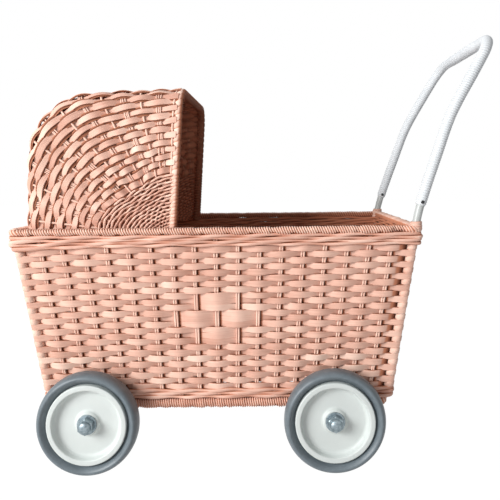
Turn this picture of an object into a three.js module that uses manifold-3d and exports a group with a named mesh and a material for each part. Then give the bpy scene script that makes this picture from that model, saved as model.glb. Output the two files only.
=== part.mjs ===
// Doll's wicker pram: a tapered cane basket with a quarter-dome hood, a wrapped push handle on
// two steel rods, and four rubber-tyred wheels on two axles. Millimetres, +Z up.
// +X is the handle end, -X the hood end. Left is -Y and right is +Y, seen by whoever pushes it.
import * as THREE from 'three';
import { mergeVertices } from 'three/addons/utils/BufferGeometryUtils.js';
import Module from 'manifold-3d';

// ---------------------------------------------------------------- driving dimensions

const FIT = 0.3; // gap between pieces that touch
const RUNNING_FIT = 0.15; // gap between a bore's flats and the axle that turns in it

const basket = {
  overAxle: 0.5, // gap from the top of the axles to the underside of the foot border
  height: 233, // from there to the top of the rim border
  baseHalfLength: 221,
  baseHalfWidth: 105,
  rimHalfLength: 255, // outside of the weave at the rim, less the border's overhang
  rimHalfWidth: 133.5,
  cornerRadius: 9,
  wall: 8,
  innerCornerRadius: 12, // the corner is thicker inside, where it wraps its post
  longStakes: 17,
  endStakes: 9,
  courses: 12,
  weaveRelief: 0.8,
};
// The bands round the basket: each one's height, how far it stands out, and its depth front to back.
const rimBorder = { height: 9.5, overhang: 2.5, wall: 14.5 };
const rimWale = { height: 13.5, overhang: 3, wall: 14.3 };
const baseWale = { height: 11.5, overhang: 1.2, wall: 10.5 };
const footBorder = { height: 12.5, overhang: 2, wall: 16, endInset: 8 }; // set in at both ends
const floorThickness = 6;

const post = { radius: 4, inset: 7 }; // corner posts; they and the handle rods stand in from both outside faces

const hood = {
  skirt: 12, // how far it reaches down inside the rim
  length: 181, // from its back to the front edge, at the skirt
  lean: 11, // how far the front edge leans out at the top
  height: 178, // roof above the rim, at the front edge
  roofRise: 5,
  backRadius: 86,
  wall: 5,
  backShoulder: 15,
  frontShoulder: 34,
  centre: 9, // radius left open about the lower front corner, where the stakes meet
  stakes: 17,
  relief: 1.3, // how far in each alternate crossing lies
  archRadius: 5,
};

const handle = {
  barBeyondRim: 98, // crossbar, beyond the basket's end and above its rim
  barAboveRim: 237.5,
  armTopHalfSpan: 113,
  bendRadius: 35,
  rodRadius: 5,
  tubeRadius: 6.6,
  tubeAboveRim: 24.5, // the tube's lower ends
  socket: 42, // length of rod inside each end of the tube
  gripRadius: 8.5,
  gripWall: 2.2,
  gripInset: 12, // from where the crossbar's bends end
  rivetRadius: 1.6,
  rivetHeadRadius: 2.7,
  rivetHead: 1,
  rivetAbove: 4, // up the arm from the tube's end
};

const wheel = {
  radius: 62.5,
  base: 304, // between axles
  baseCentre: -7, // middle of the wheelbase, from the middle of the basket
  halfTrack: 129,
  tyreWidth: 24,
  hubRadius: 49,
  hubWidth: 20,
  hubRing: 6,
  disc: 4,
  bossRadius: 14,
  bossOut: 5, // boss ends beyond the tyre's middle plane, outside and inside
  bossIn: 10.5,
};
const axle = { radius: 6, washerRadius: 12, washer: 2, nutAcrossFlats: 19, capHex: 6, lockNut: 8 };
const batten = { width: 40, aboveAxle: 2 }; // its underside lies just above the axle's centre
const clip = { width: 14, thickness: 1.5, tab: 10, fromCentre: 70 };

const ROUND = 8; // sides of rods and poles
const TURNED = 20; // sides of wheels

// ---------------------------------------------------------------- worked-out sizes

const basketFoot = wheel.radius + axle.radius + basket.overAxle;
const rimTop = basketFoot + basket.height;
const rimBorderFoot = rimTop - rimBorder.height;
const rimWaleFoot = rimBorderFoot - FIT - rimWale.height;
const baseWaleFoot = basketFoot + footBorder.height + FIT;
const postFoot = baseWaleFoot; // posts and rods stand on the foot border
const wallFoot = baseWaleFoot + baseWale.height + FIT;
const wallTop = rimWaleFoot - FIT;
const floorUnderside = baseWaleFoot;
const skirtFoot = rimTop - hood.skirt;
const barX = basket.rimHalfLength + handle.barBeyondRim;
const barZ = rimTop + handle.barAboveRim;

const share = (z) => (z - basketFoot) / basket.height;
const mix = (a, b, t) => a + (b - a) * t;
const halfLengthAt = (z) => mix(basket.baseHalfLength, basket.rimHalfLength, share(z));
const halfWidthAt = (z) => mix(basket.baseHalfWidth, basket.rimHalfWidth, share(z));

// ---------------------------------------------------------------- solids from points

const wasm = await Module();
wasm.setup();

function toManifold(geometry) {
  const bare = geometry.clone();
  bare.deleteAttribute('normal');
  bare.deleteAttribute('uv');
  const merged = mergeVertices(bare, 1e-4);
  return new wasm.Manifold(new wasm.Mesh({
    numProp: 3,
    vertProperties: new Float32Array(merged.attributes.position.array),
    triVerts: new Uint32Array(merged.index.array),
  }));
}

function fromManifold(manifold) {
  const mesh = manifold.getMesh();
  const geometry = new THREE.BufferGeometry();
  geometry.setAttribute('position', new THREE.BufferAttribute(mesh.vertProperties, 3));
  geometry.setIndex(new THREE.BufferAttribute(mesh.triVerts, 1));
  geometry.computeVertexNormals();
  return geometry;
}

function cut(geometry, ...tools) {
  return fromManifold(tools.reduce((body, tool) => body.subtract(toManifold(tool)), toManifold(geometry)));
}

function join(...pieces) {
  return fromManifold(pieces.map(toManifold).reduce((body, piece) => body.add(piece)));
}

// A closed skin through rows of points. Each row is a loop; the rows themselves may also close.
function skin(rows, { rowsClose, loops = true }) {
  const count = rows[0].length;
  const positions = rows.flatMap((row) => row.flatMap((p) => [p.x, p.y, p.z]));
  const indices = [];
  const across = loops ? count : count - 1;
  const along = rowsClose ? rows.length : rows.length - 1;
  for (let i = 0; i < along; i += 1) {
    for (let j = 0; j < across; j += 1) {
      const a = i * count + j;
      const b = i * count + ((j + 1) % count);
      const c = ((i + 1) % rows.length) * count + j;
      const d = ((i + 1) % rows.length) * count + ((j + 1) % count);
      indices.push(a, b, d, a, d, c);
    }
  }
  const geometry = new THREE.BufferGeometry();
  geometry.setAttribute('position', new THREE.Float32BufferAttribute(positions, 3));
  geometry.setIndex(indices);
  geometry.computeVertexNormals();
  return geometry;
}

// A stretch of a longer curve, from share a to share b of its length.
class Stretch extends THREE.Curve {
  constructor(curve, a, b) {
    super();
    Object.assign(this, { curve, a, b });
  }

  getPoint(t, target = new THREE.Vector3()) {
    return target.copy(this.curve.getPointAt(mix(this.a, this.b, t)));
  }
}

function disc(radius, hole = 0, sides = ROUND) {
  const ring = (r) => Array.from({ length: sides }, (_, i) => new THREE.Vector2(
    r * Math.cos((2 * Math.PI * i) / sides),
    r * Math.sin((2 * Math.PI * i) / sides),
  ));
  const shape = new THREE.Shape(ring(radius));
  if (hole > 0) shape.holes.push(new THREE.Path(ring(hole)));
  return shape;
}

const bore = (radius, gap, sides = ROUND) => (radius + gap) / Math.cos(Math.PI / sides);

const sweep = (shape, path, steps) => new THREE.ExtrudeGeometry(shape, {
  steps, extrudePath: path, bevelEnabled: false,
});

// ---------------------------------------------------------------- basket

// One level of the basket's plan: a point at each stake, or each second one, and an arc round each corner.
function planLoop(z, inset, radius, relief = () => 0, step = 1, endInset = 0) {
  const halfLength = halfLengthAt(z) - inset - endInset;
  const halfWidth = halfWidthAt(z) - inset;
  const corner = { x: halfLength - radius, y: halfWidth - radius };
  const arcSteps = 2;
  const points = [];
  for (let quarter = 0; quarter < 4; quarter += 1) {
    const along = quarter % 2 === 0 ? 'x' : 'y';
    const stakes = Math.ceil((along === 'x' ? basket.longStakes : basket.endStakes) / step);
    const heading = (quarter * Math.PI) / 2;
    const side = new THREE.Vector2(Math.cos(heading), Math.sin(heading));
    const out = new THREE.Vector2(side.y, -side.x);
    const reach = along === 'x' ? corner.x : corner.y;
    const depth = (along === 'x' ? corner.y : corner.x) + radius;
    for (let k = 1; k <= stakes; k += 1) {
      const at = reach * ((2 * k) / (stakes + 1) - 1);
      const away = depth + relief(k);
      points.push(new THREE.Vector3(side.x * at + out.x * away, side.y * at + out.y * away, z));
    }
    for (let k = 0; k <= arcSteps; k += 1) {
      const turn = heading - Math.PI / 2 + (k / arcSteps) * (Math.PI / 2);
      const middle = side.clone().multiplyScalar(reach).addScaledVector(out, depth - radius);
      points.push(new THREE.Vector3(
        middle.x + radius * Math.cos(turn),
        middle.y + radius * Math.sin(turn),
        z,
      ));
    }
  }
  return points;
}

// The wall: a weave in which each course passes outside every other stake.
function basketWall() {
  const outside = Array.from({ length: basket.courses }, (_, i) => {
    const z = mix(wallFoot, wallTop, (i + 0.5) / basket.courses);
    return planLoop(z, 0, basket.cornerRadius, (k) => basket.weaveRelief * (-1) ** (i + k));
  });
  return skin([
    planLoop(wallFoot, 0, basket.cornerRadius),
    ...outside,
    planLoop(wallTop, 0, basket.cornerRadius),
    planLoop(wallTop, basket.wall, basket.innerCornerRadius),
    planLoop(wallFoot, basket.wall, basket.innerCornerRadius),
  ], { rowsClose: true });
}

// A band round the basket: rounded outside, flat where it meets its neighbours, ribbed by its twist.
function band(foot, { height, overhang, wall, endInset }, rib) {
  const outer = (z, phase) => planLoop(
    z,
    -overhang,
    basket.cornerRadius + overhang,
    (k) => rib * (-1) ** (k + phase),
    2,
    endInset,
  );
  const flat = (z, inset, radius) => planLoop(z, inset, radius, () => 0, 2, endInset);
  const top = foot + height;
  return skin([
    flat(foot, 0, basket.cornerRadius),
    outer(foot + height * 0.3, 0),
    outer(foot + height * 0.7, 1),
    flat(top, 0, basket.cornerRadius),
    flat(top, wall - overhang, basket.innerCornerRadius),
    flat(foot, wall - overhang, basket.innerCornerRadius),
  ], { rowsClose: true });
}

function basketFloor() {
  const inset = baseWale.wall - baseWale.overhang + FIT;
  const outline = planLoop(floorUnderside, inset, basket.innerCornerRadius, () => 0, 2)
    .map((p) => new THREE.Vector2(p.x, p.y));
  return new THREE.ExtrudeGeometry(new THREE.Shape(outline), { depth: floorThickness, bevelEnabled: false })
    .translate(0, 0, floorUnderside);
}

// ---------------------------------------------------------------- corner posts and handle

// The line of a corner post, at one of the basket's four corners.
const postAt = (z, endSign, sideSign) => new THREE.Vector3(
  endSign * (halfLengthAt(z) - post.inset),
  sideSign * (halfWidthAt(z) - post.inset),
  z,
);

// The centre line of the whole handle: up one rear corner, over the crossbar and down the other.
function handleCurve() {
  const rim = postAt(rimTop, 1, -1);
  const bar = new THREE.Vector3(barX, 0, barZ);
  // the arm bows back as it rises: share of the way up, and how far back it has gone by then
  const bow = [[0.095, 0.055], [0.205, 0.145], [0.365, 0.295], [0.58, 0.5], [0.8, 0.755]];
  const arm = bow.map(([up, back]) => new THREE.Vector3(
    mix(rim.x, bar.x, back),
    mix(rim.y, -handle.armTopHalfSpan, up),
    mix(rim.z, bar.z, up),
  ));
  const last = arm[arm.length - 1];
  const rise = new THREE.Vector3(bar.x - last.x, 0, bar.z - last.z).normalize();
  const spring = new THREE.Vector3(bar.x, -handle.armTopHalfSpan, bar.z)
    .addScaledVector(rise, -handle.bendRadius);
  const bend = [0, 0.25, 0.5, 0.75, 1].map((t) => {
    const angle = (t * Math.PI) / 2;
    const point = spring.clone().addScaledVector(rise, handle.bendRadius * Math.sin(angle));
    point.y += handle.bendRadius * (1 - Math.cos(angle));
    return point;
  });
  const foot = postAt(postFoot, 1, -1);
  const straight = [0.9, 0.6, 0.3].map((t) => bar.clone().setY(t * bend[4].y));
  const half = [
    foot, foot.clone().lerp(rim, 0.5), foot.clone().lerp(rim, 0.9), rim, ...arm, ...bend, ...straight,
  ];
  const other = half.map((p) => new THREE.Vector3(p.x, -p.y, p.z)).reverse();
  const curve = new THREE.CatmullRomCurve3([...half, ...other], false, 'centripetal');
  curve.arcLengthDivisions = 2000;
  return curve;
}

const frameCurve = handleCurve();
const frameLength = frameCurve.getLength();

// Share of the curve's length at which its first arm reaches a height.
function shareAtHeight(z) {
  let low = 0;
  let high = 0.45;
  for (let i = 0; i < 40; i += 1) {
    const middle = (low + high) / 2;
    if (frameCurve.getPointAt(middle).z < z) low = middle;
    else high = middle;
  }
  return low;
}

const tubeStart = shareAtHeight(rimTop + handle.tubeAboveRim);
const socketEnd = tubeStart + handle.socket / frameLength;
const rodEnd = socketEnd - FIT / frameLength;
const rodSteps = 16;
const rivetShare = tubeStart + handle.rivetAbove / frameLength;
const mirrored = (a, b, side) => (side < 0 ? [a, b] : [1 - b, 1 - a]);

const rodPath = (side, a, b) => new Stretch(frameCurve, ...mirrored(a, b, side));

function rivetTool(side, radius, length) {
  const centre = frameCurve.getPointAt(side < 0 ? rivetShare : 1 - rivetShare);
  return new THREE.CylinderGeometry(radius, radius, length, ROUND).translate(centre.x, centre.y, centre.z);
}

function handleRod(side) {
  const rod = sweep(disc(handle.rodRadius), rodPath(side, 0, rodEnd), rodSteps);
  return cut(rod, rivetTool(side, bore(handle.rivetRadius, FIT), 4 * handle.tubeRadius));
}

function handleTube() {
  const whole = new Stretch(frameCurve, tubeStart, 1 - tubeStart);
  const tube = sweep(disc(handle.tubeRadius, 0, 10), whole, 36);
  const sockets = [-1, 1].map((side) => sweep(
    disc(bore(handle.rodRadius, FIT)),
    rodPath(side, tubeStart - 4 / frameLength, socketEnd),
    4,
  ));
  const holes = [-1, 1].map((side) => rivetTool(side, bore(handle.rivetRadius, FIT), 4 * handle.tubeRadius));
  return cut(tube, ...sockets, ...holes);
}

function handleRivet(side) {
  const half = handle.tubeRadius + FIT;
  const profile = [
    [0, -half - handle.rivetHead], [handle.rivetHeadRadius * 0.6, -half - handle.rivetHead],
    [handle.rivetHeadRadius, -half], [handle.rivetRadius, -half],
    [handle.rivetRadius, half], [handle.rivetHeadRadius, half],
    [handle.rivetHeadRadius * 0.6, half + handle.rivetHead], [0, half + handle.rivetHead],
  ];
  const centre = frameCurve.getPointAt(side < 0 ? rivetShare : 1 - rivetShare);
  return new THREE.LatheGeometry(profile.map(([r, y]) => new THREE.Vector2(r, y)), ROUND)
    .translate(centre.x, centre.y, centre.z);
}

// A soft roll round the crossbar, between the two bends.
function handleGrip() {
  const half = handle.armTopHalfSpan - handle.bendRadius - handle.gripInset;
  const hole = bore(handle.tubeRadius, FIT, 12);
  const profile = [
    [hole, -half], [handle.gripRadius - handle.gripWall * 0.4, -half],
    [handle.gripRadius, -half + handle.gripWall], [handle.gripRadius, half - handle.gripWall],
    [handle.gripRadius - handle.gripWall * 0.4, half], [hole, half], [hole, -half],
  ];
  return new THREE.LatheGeometry(profile.map(([r, y]) => new THREE.Vector2(r, y)), 12)
    .translate(barX, 0, barZ);
}

function cornerPost(side) {
  const line = new THREE.LineCurve3(
    postAt(postFoot, -1, side),
    postAt(rimTop - FIT, -1, side),
  );
  return sweep(disc(post.radius), line, 1);
}

// Room for every post and rod, cut through a band or the wall.
function withPosts(geometry) {
  const postHole = disc(bore(post.radius, FIT));
  const rodHole = disc(bore(handle.rodRadius, FIT));
  const tools = [-1, 1].flatMap((side) => [
    sweep(rodHole, rodPath(side, 0, rodEnd), rodSteps),
    sweep(postHole, new THREE.LineCurve3(
      postAt(postFoot - 2 * post.radius, -1, side),
      postAt(rimTop + 2 * post.radius, -1, side),
    ), 1),
  ]);
  // the rods' holes start below the rods, so that they come out at the base wale's underside
  const below = [-1, 1].map((side) => sweep(rodHole, new THREE.LineCurve3(
    postAt(postFoot - 2 * handle.rodRadius, 1, side),
    postAt(postFoot + handle.rodRadius, 1, side),
  ), 1));
  return cut(geometry, ...tools, ...below);
}

// ---------------------------------------------------------------- hood

// The skirt just clears the narrower of the two bands that it stands inside.
const insideBands = (halfSizeAt) => Math.min(
  halfSizeAt(rimBorderFoot) - (rimBorder.wall - rimBorder.overhang),
  halfSizeAt(skirtFoot) - (rimWale.wall - rimWale.overhang),
) - FIT;
const hoodHalfWidth = insideBands(halfWidthAt);
const hoodBack = -insideBands(halfLengthAt);
const hoodHub = new THREE.Vector2(hoodBack + hood.length, skirtFoot);
const hoodFrontTop = new THREE.Vector2(hoodHub.x + hood.lean, rimTop + hood.height);
const hoodSweep = Math.PI - Math.atan2(hoodFrontTop.y - hoodHub.y, hoodFrontTop.x - hoodHub.x);

// How far the hood's outline lies from its lower front corner, at an angle up from the rim.
function hoodReach(angle) {
  const ray = new THREE.Vector2(-Math.cos(angle), Math.sin(angle));
  const middle = new THREE.Vector2(
    hoodBack + hood.backRadius,
    hoodFrontTop.y - hood.roofRise - hood.backRadius,
  );
  const roofSlope = hood.roofRise / (hoodFrontTop.x - middle.x);
  const toRoof = (hoodFrontTop.y - hoodHub.y + roofSlope * (hoodHub.x - hoodFrontTop.x))
    / (ray.y - roofSlope * ray.x);
  const toBack = (hoodBack - hoodHub.x) / ray.x;
  const reach = Math.min(ray.x < 0 ? toBack : Infinity, ray.y > 0 ? toRoof : Infinity);
  const hit = hoodHub.clone().addScaledVector(ray, reach);
  if (hit.x >= middle.x || hit.y <= middle.y) return reach;
  const offset = hoodHub.clone().sub(middle);
  const along = offset.dot(ray);
  return -along + Math.sqrt(along * along - offset.lengthSq() + hood.backRadius ** 2);
}

// One stake's line over the hood, from one lower front corner to the other.
function hoodStake(angle, inset, forward = 0, relief = () => 0) {
  const shoulder = mix(hood.backShoulder, hood.frontShoulder, angle / hoodSweep) - inset;
  const reach = hoodReach(angle) - inset;
  const half = hoodHalfWidth - inset;
  const flat = [];
  for (const t of [0, 0.25, 0.5, 0.75]) flat.push([mix(hood.centre, reach - shoulder, t), -half, 0, -1]);
  for (const t of [0, 1 / 3, 2 / 3, 1]) {
    const turn = (t * Math.PI) / 2;
    flat.push([
      reach - shoulder + shoulder * Math.sin(turn), -half + shoulder * (1 - Math.cos(turn)),
      Math.sin(turn), -Math.cos(turn),
    ]);
  }
  const inner = half - shoulder;
  for (const t of [0.25, 0.5, 0.75]) flat.push([reach, mix(-inner, inner, t), 1, 0]);
  for (const p of flat.slice(0, 8).reverse()) flat.push([p[0], -p[1], p[2], -p[3]]);
  return flat.map(([rho, y, outRho, outY], j) => {
    const lift = relief(j);
    const distance = rho + lift * outRho;
    return new THREE.Vector3(
      hoodHub.x - distance * Math.cos(angle) + forward * Math.sin(angle),
      y + lift * outY,
      hoodHub.y + distance * Math.sin(angle) + forward * Math.cos(angle),
    );
  });
}

// A basket-work quarter dome: two flat sides, a curved back and roof, open in front and below.
function hoodShell() {
  const spans = hood.stakes - 1;
  const outer = [];
  const inner = [];
  for (let i = 0; i <= spans; i += 1) {
    const angle = (hoodSweep * i) / spans;
    const edge = i === 0 || i === spans;
    outer.push(hoodStake(angle, 0, 0, (j) => (
      edge || j === 0 || j === 18 || (i + j) % 2 ? 0 : -hood.relief
    )));
    inner.push(hoodStake(angle, hood.wall));
  }
  // each row runs out over the outside and back over the inside, from the mouth down to the rim
  const rows = outer.map((row, i) => [...row, ...inner[i].slice().reverse()]).reverse();
  const body = skin(rows, { rowsClose: false });
  const count = rows[0].length;
  const indices = Array.from(body.index.array);
  const cap = (start, flip) => {
    for (let j = 0; j < count / 2 - 1; j += 1) {
      const a = start + j;
      const b = start + j + 1;
      const c = start + count - 1 - j;
      const d = start + count - 2 - j;
      if (flip) indices.push(a, c, b, b, c, d);
      else indices.push(a, b, c, b, d, c);
    }
  };
  cap(0, true);
  cap((rows.length - 1) * count, false);
  body.setIndex(indices);
  return body;
}

// The wrapped arch that edges the hood's mouth.
function hoodArch() {
  const points = hoodStake(hoodSweep, hood.archRadius, hood.archRadius + FIT);
  const lowest = (sign) => new THREE.Vector3(points[0].x, sign * Math.abs(points[0].y), skirtFoot);
  points[0] = lowest(-1);
  points[points.length - 1] = lowest(1);
  return sweep(disc(hood.archRadius), new THREE.CatmullRomCurve3(points, false, 'centripetal'), 28);
}

// ---------------------------------------------------------------- running gear

const turned = (profile, sides = TURNED) => new THREE.LatheGeometry(
  profile.map(([r, y]) => new THREE.Vector2(r, y)),
  sides,
  Math.PI / sides,
);

// Profiles below run outwards along the axle, with 0 at the tyre's middle plane.
function tyre() {
  const half = wheel.tyreWidth / 2;
  const outer = wheel.radius / Math.cos(Math.PI / TURNED); // flats, not corners, at the wheel's radius
  const seat = wheel.hubRadius + FIT;
  const depth = outer - seat;
  return turned([
    [seat, -half * 0.86], [seat + depth * 0.35, -half], [outer - depth * 0.22, -half * 0.78],
    [outer, -half * 0.32], [outer, half * 0.32], [outer - depth * 0.22, half * 0.78],
    [seat + depth * 0.35, half], [seat, half * 0.86], [seat, -half * 0.86],
  ]);
}

function hub() {
  const half = wheel.hubWidth / 2;
  const ring = wheel.hubRadius - wheel.hubRing;
  const hole = bore(axle.radius, RUNNING_FIT, TURNED);
  const face = wheel.disc / 2;
  return turned([
    [hole, -wheel.bossIn], [wheel.bossRadius - 1, -wheel.bossIn], [wheel.bossRadius + 1, -face],
    [ring - 2, -face], [ring, -half], [wheel.hubRadius, -half], [wheel.hubRadius, half],
    [ring + 1, half], [ring - 3, face], [wheel.bossRadius + 3, face],
    [wheel.bossRadius, wheel.bossOut], [hole, wheel.bossOut], [hole, -wheel.bossIn],
  ]);
}

const washerRing = () => {
  const hole = bore(axle.radius, FIT, 12);
  return turned([
    [hole, 0], [axle.washerRadius, 0], [axle.washerRadius, axle.washer], [hole, axle.washer], [hole, 0],
  ], 12);
};

const hexRadius = axle.nutAcrossFlats / Math.sqrt(3);
const hexBar = (length) => new THREE.CylinderGeometry(hexRadius, hexRadius, length, 6)
  .translate(0, length / 2, 0);

function lockNut() {
  const hole = bore(axle.radius, FIT);
  return cut(hexBar(axle.lockNut), new THREE.CylinderGeometry(hole, hole, axle.lockNut * 3, ROUND));
}

function capNut() {
  const domeRadius = axle.nutAcrossFlats * 0.46;
  const dome = [0, 0.25, 0.5, 0.75, 1].map((t) => [
    domeRadius * Math.cos((t * Math.PI) / 2), axle.capHex + domeRadius * 0.7 * Math.sin((t * Math.PI) / 2),
  ]);
  const cap = new THREE.LatheGeometry(
    [[0, axle.capHex / 2], [domeRadius, axle.capHex / 2], ...dome].map(([r, y]) => new THREE.Vector2(r, y)),
    ROUND,
  );
  const hole = bore(axle.radius, FIT);
  const blind = new THREE.CylinderGeometry(hole, hole, axle.capHex * 2, ROUND);
  return cut(join(hexBar(axle.capHex), cap), blind);
}

// Where things sit along the axle, from the pram's middle plane.
const along = {
  hubInside: wheel.halfTrack - wheel.bossIn,
  hubOutside: wheel.halfTrack + wheel.bossOut,
};
along.innerWasher = along.hubInside - FIT - axle.washer;
along.lockNut = along.innerWasher - FIT - axle.lockNut;
along.outerWasher = along.hubOutside + FIT;
along.capNut = along.outerWasher + axle.washer + FIT;
along.axleEnd = along.capNut + axle.capHex - FIT;

const axleBar = () => new THREE.CylinderGeometry(axle.radius, axle.radius, 2 * along.axleEnd, TURNED);

function battenBlock() {
  const halfLength = halfWidthAt(basketFoot) - (footBorder.wall - footBorder.overhang) - FIT;
  const height = floorUnderside - FIT - wheel.radius - batten.aboveAxle;
  const block = new THREE.BoxGeometry(batten.width, 2 * halfLength, height)
    .translate(0, 0, batten.aboveAxle + height / 2);
  const groove = new THREE.CylinderGeometry(
    bore(axle.radius, FIT, TURNED), bore(axle.radius, FIT, TURNED), 3 * halfLength, TURNED,
  );
  return cut(block, groove);
}

// A strap under the axle, with a tab on each side against the batten.
function axleClip() {
  const inside = bore(axle.radius, FIT, 12);
  const outside = inside + clip.thickness;
  const tabTop = batten.aboveAxle - FIT;
  const tabFoot = tabTop - clip.thickness;
  const shape = new THREE.Shape();
  const startAngle = Math.asin(tabTop / inside);
  const footAngle = Math.asin(tabFoot / outside);
  shape.moveTo(-outside - clip.tab, tabFoot);
  shape.lineTo(-outside * Math.cos(footAngle), tabFoot);
  shape.absarc(0, 0, outside, Math.PI - footAngle, 2 * Math.PI + footAngle, false);
  shape.lineTo(outside + clip.tab, tabFoot);
  shape.lineTo(outside + clip.tab, tabTop);
  shape.lineTo(inside * Math.cos(startAngle), tabTop);
  shape.absarc(0, 0, inside, startAngle, -Math.PI - startAngle, true);
  shape.lineTo(-outside - clip.tab, tabTop);
  shape.closePath();
  return new THREE.ExtrudeGeometry(shape, { depth: clip.width, bevelEnabled: false, curveSegments: 8 })
    .translate(0, 0, -clip.width / 2)
    .rotateX(Math.PI / 2);
}

// ---------------------------------------------------------------- materials

const finish = (color, roughness, metalness = 0) => () => new THREE.MeshStandardMaterial({
  color, roughness, metalness,
});
const cane = finish(0xdba893, 0.55);
const innerCane = finish(0x9c6a58, 0.6);
const steelRod = finish(0xb8bab3, 0.35, 0.8);
const whiteWrap = finish(0xf1f4f5, 0.4);
const blackMetal = finish(0x1c1c1e, 0.4, 0.6);
const zinc = finish(0x84939b, 0.35, 0.9);
const whitePlastic = finish(0xdfe6e6, 0.35);
const greyRubber = finish(0x6f7a82, 0.7);
const timber = finish(0xc9a27a, 0.7);

// ---------------------------------------------------------------- assembly

const group = new THREE.Group();

function place(name, geometry, material, parent = group) {
  const mesh = new THREE.Mesh(geometry, material());
  mesh.name = name;
  parent.add(mesh);
  return mesh;
}

place('basket_wall', withPosts(basketWall()), cane);
place('basket_floor', basketFloor(), innerCane);
place('rim_border', withPosts(band(rimBorderFoot, rimBorder, 0.4)), cane);
place('rim_wale', withPosts(band(rimWaleFoot, rimWale, 0.5)), cane);
place('base_wale', withPosts(band(baseWaleFoot, baseWale, 0.5)), cane);
place('foot_border', band(basketFoot, footBorder, 0.4), cane);
place('hood_shell', hoodShell(), cane);
place('hood_arch', hoodArch(), cane);

for (const [sideName, side] of [['left', -1], ['right', 1]]) {
  place(`head_post_${sideName}`, cornerPost(side), cane);
  place(`handle_rod_${sideName}`, handleRod(side), steelRod);
  place(`handle_rivet_${sideName}`, handleRivet(side), blackMetal);
}
place('handle_tube', handleTube(), whiteWrap);
place('handle_grip', handleGrip(), whiteWrap);

for (const [endName, end] of [['head', -1], ['foot', 1]]) {
  const gear = new THREE.Group();
  gear.position.set(wheel.baseCentre + (end * wheel.base) / 2, 0, wheel.radius);
  group.add(gear);
  place(`axle_${endName}`, axleBar(), zinc, gear);
  place(`batten_${endName}`, battenBlock(), timber, gear);
  for (const [sideName, side] of [['left', -1], ['right', 1]]) {
    const tag = `${endName}_${sideName}`;
    place(`axle_clip_${tag}`, axleClip(), zinc, gear).position.y = side * clip.fromCentre;
    const outward = new THREE.Group();
    outward.rotation.z = side < 0 ? Math.PI : 0;
    gear.add(outward);
    const at = (name, geometry, material, y) => {
      place(`${name}_${tag}`, geometry, material, outward).position.y = y;
    };
    at('lock_nut', lockNut(), zinc, along.lockNut);
    at('inner_washer', washerRing(), zinc, along.innerWasher);
    at('hub', hub(), whitePlastic, wheel.halfTrack);
    at('tyre', tyre(), greyRubber, wheel.halfTrack);
    at('outer_washer', washerRing(), zinc, along.outerWasher);
    at('cap_nut', capNut(), zinc, along.capNut);
  }
}

// The origin is on the ground, under the middle of the pram's overall box.
group.updateMatrixWorld(true);
const box = new THREE.Box3().setFromObject(group, true);
group.position.x = -(box.min.x + box.max.x) / 2;

export default group;
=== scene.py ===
# %% [markdown]
# # A doll's wicker pram, strand by strand
# The real pram is a tapered cane basket with a quarter-round hood, a wrapped push handle and
# four rubber-tyred wheels. Nearly everything that the eye sees is cane going over and under
# other cane, so the basket and the hood are not built as walls with a picture of weaving on
# them. Each strip is a surface of its own, whose path is worked out from the stakes it passes.
# The exact frame of the pram is loaded first, and most places below are read from it.

# %% Load the pram's frame
import math

import bpy
import numpy as np
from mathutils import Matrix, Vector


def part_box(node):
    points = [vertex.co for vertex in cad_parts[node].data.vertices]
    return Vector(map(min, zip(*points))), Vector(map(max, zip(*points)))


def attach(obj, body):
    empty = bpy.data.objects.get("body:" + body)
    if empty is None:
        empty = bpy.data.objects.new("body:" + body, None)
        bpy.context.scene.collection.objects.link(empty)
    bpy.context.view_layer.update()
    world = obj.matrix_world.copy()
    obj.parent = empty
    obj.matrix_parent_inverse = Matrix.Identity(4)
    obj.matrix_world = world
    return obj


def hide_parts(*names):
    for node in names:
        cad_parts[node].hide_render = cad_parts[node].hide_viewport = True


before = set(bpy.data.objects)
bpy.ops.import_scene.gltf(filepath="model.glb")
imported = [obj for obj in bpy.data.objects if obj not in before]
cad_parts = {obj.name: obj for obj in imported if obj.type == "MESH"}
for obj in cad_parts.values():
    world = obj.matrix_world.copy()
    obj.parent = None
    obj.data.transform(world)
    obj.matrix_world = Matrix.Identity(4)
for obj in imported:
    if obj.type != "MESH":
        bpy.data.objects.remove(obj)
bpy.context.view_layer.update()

# %% [markdown]
# ## Camera
# The pram is seen square on from its left side, with the eye about 0.8 m from its middle and a
# little above the rim. The camera looks straight ahead, which keeps the uprights parallel, and
# its lens is shifted instead of tilted, as an architect's is. It is rolled by 0.6 degrees.

# %% Camera
EYE = (0.0187, -0.8126, 0.3668)
scene = bpy.context.scene
lens_data = bpy.data.cameras.new("camera")
lens_data.sensor_width = 36.0
lens_data.lens = 39.9
lens_data.shift_x = -0.044
lens_data.shift_y = -0.152
camera = bpy.data.objects.new("camera", lens_data)
camera.location = EYE
camera.rotation_euler = (math.radians(90), math.radians(0.6), 0)
scene.collection.objects.link(camera)
scene.camera = camera
scene.view_settings.view_transform = "Standard"

# %% [markdown]
# ## Small helpers for materials
# Colours are written as sRGB hex values, but a renderer adds light up in linear values, so one
# function turns the first into the second. Another adds one shader node with its settings and
# its links in a single line, and the rest are built on it, one for each kind of node that
# comes back often.

# %% Colour and node helpers
def linear(hex_colour):
    """Linear RGBA of an sRGB hex colour: c / 12.92 up to 0.04045, ((c + 0.055) / 1.055) ^ 2.4 above."""
    srgb = np.array([int(hex_colour[i:i + 2], 16) for i in (1, 3, 5)]) / 255
    return (*np.where(srgb <= 0.04045, srgb / 12.92, ((srgb + 0.055) / 1.055) ** 2.4).tolist(), 1.0)


def add_node(tree, kind, sockets=None, **settings):
    """Adds a node. A socket's value is a number or colour, or another node's output to link."""
    made = tree.nodes.new(kind)
    for name, value in settings.items():
        setattr(made, name, value)
    for name, value in (sockets or {}).items():
        if isinstance(value, bpy.types.NodeSocket):
            tree.links.new(value, made.inputs[name])
        else:
            made.inputs[name].default_value = value
    return made


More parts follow.
